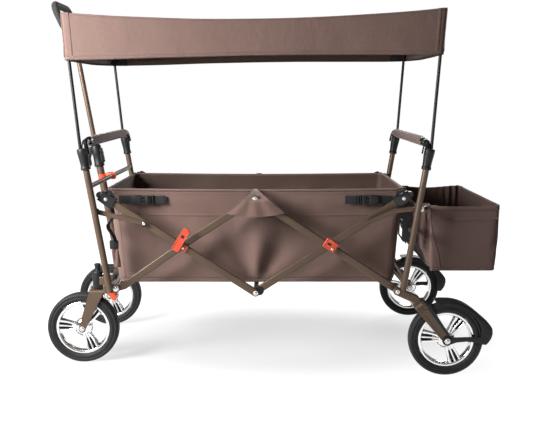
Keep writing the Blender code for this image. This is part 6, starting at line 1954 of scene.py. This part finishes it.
class WAGON_OT_wheels(bpy.types.Operator):
    """Build the four tyres and rims"""
    bl_idname = "wagon.wheels"
    bl_label = "Wheels"

    def execute(self, context):
        build_wheels(context.scene.wagon_wheels)
        return {"FINISHED"}


class WAGON_OT_forks(bpy.types.Operator):
    """Build the forks, swivel housings and their levers"""
    bl_idname = "wagon.forks"
    bl_label = "Forks and casters"

    def execute(self, context):
        build_forks(context.scene.wagon_metal)
        build_casters()
        return {"FINISHED"}


class WAGON_OT_brakes(bpy.types.Operator):
    """Build the mudguard pedals of the rear wheels"""
    bl_idname = "wagon.brakes"
    bl_label = "Brakes"

    def execute(self, context):
        build_brakes()
        return {"FINISHED"}


class WAGON_OT_ends(bpy.types.Operator):
    """Build the push handles, sockets, sleeves and hoops"""
    bl_idname = "wagon.ends"
    bl_label = "Handles and hoops"

    def execute(self, context):
        build_ends(context.scene.wagon_metal)
        return {"FINISHED"}


class WAGON_OT_canopy(bpy.types.Operator):
    """Build the canopy with its seams and stitches"""
    bl_idname = "wagon.canopy"
    bl_label = "Canopy"

    def execute(self, context):
        build_canopy(context.scene.wagon_cloth)
        return {"FINISHED"}


class WAGON_OT_basket(bpy.types.Operator):
    """Build the basket, its flaps and its mat"""
    bl_idname = "wagon.basket"
    bl_label = "Basket"

    def execute(self, context):
        build_basket(context.scene.wagon_cloth)
        return {"FINISHED"}


class WAGON_OT_straps(bpy.types.Operator):
    """Build the webbing and buckles"""
    bl_idname = "wagon.straps"
    bl_label = "Straps"

    def execute(self, context):
        build_straps(context.scene.wagon_cloth)
        return {"FINISHED"}


class WAGON_OT_bag(bpy.types.Operator):
    """Build the rear bag and the bar that carries it"""
    bl_idname = "wagon.bag"
    bl_label = "Rear bag"

    def execute(self, context):
        build_bag(context.scene.wagon_cloth)
        return {"FINISHED"}


class WAGON_OT_draw_handle(bpy.types.Operator):
    """Build the draw handle, its clamp, grip and clip"""
    bl_idname = "wagon.draw_handle"
    bl_label = "Draw handle"

    def execute(self, context):
        build_draw_handle()
        return {"FINISHED"}


class WAGON_OT_locks(bpy.types.Operator):
    """Build the red locks on the crossings"""
    bl_idname = "wagon.locks"
    bl_label = "Arm locks"

    def execute(self, context):
        build_locks(context.scene.wagon_metal)
        return {"FINISHED"}


class WAGON_OT_stage(bpy.types.Operator):
    """Build the floor, lamps, surround and camera"""
    bl_idname = "wagon.stage"
    bl_label = "Stage"

    def execute(self, context):
        build_stage(context.scene.wagon_stage)
        return {"FINISHED"}


STEPS = (WAGON_OT_stage, WAGON_OT_end_frames, WAGON_OT_arms, WAGON_OT_hubs, WAGON_OT_wheels, WAGON_OT_forks,
    WAGON_OT_brakes, WAGON_OT_ends, WAGON_OT_canopy, WAGON_OT_basket, WAGON_OT_straps, WAGON_OT_bag,
    WAGON_OT_draw_handle, WAGON_OT_locks)


class WAGON_PT_sidebar(bpy.types.Panel):
    """Lists the steps that dress the wagon"""
    bl_idname = "WAGON_PT_sidebar"
    bl_label = "Folding wagon"
    bl_space_type = "VIEW_3D"
    bl_region_type = "UI"
    bl_category = "Wagon"

    def draw(self, context):
        for step in STEPS:
            self.layout.operator(step.bl_idname, text=step.bl_label)


SETTINGS = (("wagon_colours", WagonColours), ("wagon_cloth", WagonCloth), ("wagon_metal", WagonMetal),
    ("wagon_wheels", WagonWheels), ("wagon_stage", WagonStage))


def register():
    for name, group in SETTINGS:
        bpy.utils.register_class(group)
        setattr(bpy.types.Scene, name, PointerProperty(type=group))
    for step in STEPS:
        bpy.utils.register_class(step)
    bpy.utils.register_class(WAGON_PT_sidebar)


def unregister():
    bpy.utils.unregister_class(WAGON_PT_sidebar)
    for step in reversed(STEPS):
        bpy.utils.unregister_class(step)
    for name, group in reversed(SETTINGS):
        delattr(bpy.types.Scene, name)
        bpy.utils.unregister_class(group)


def main():
    register()
    for step in STEPS:
        family, action = step.bl_idname.split(".")
        getattr(getattr(bpy.ops, family), action)()


if __name__ == "__main__":
    main()
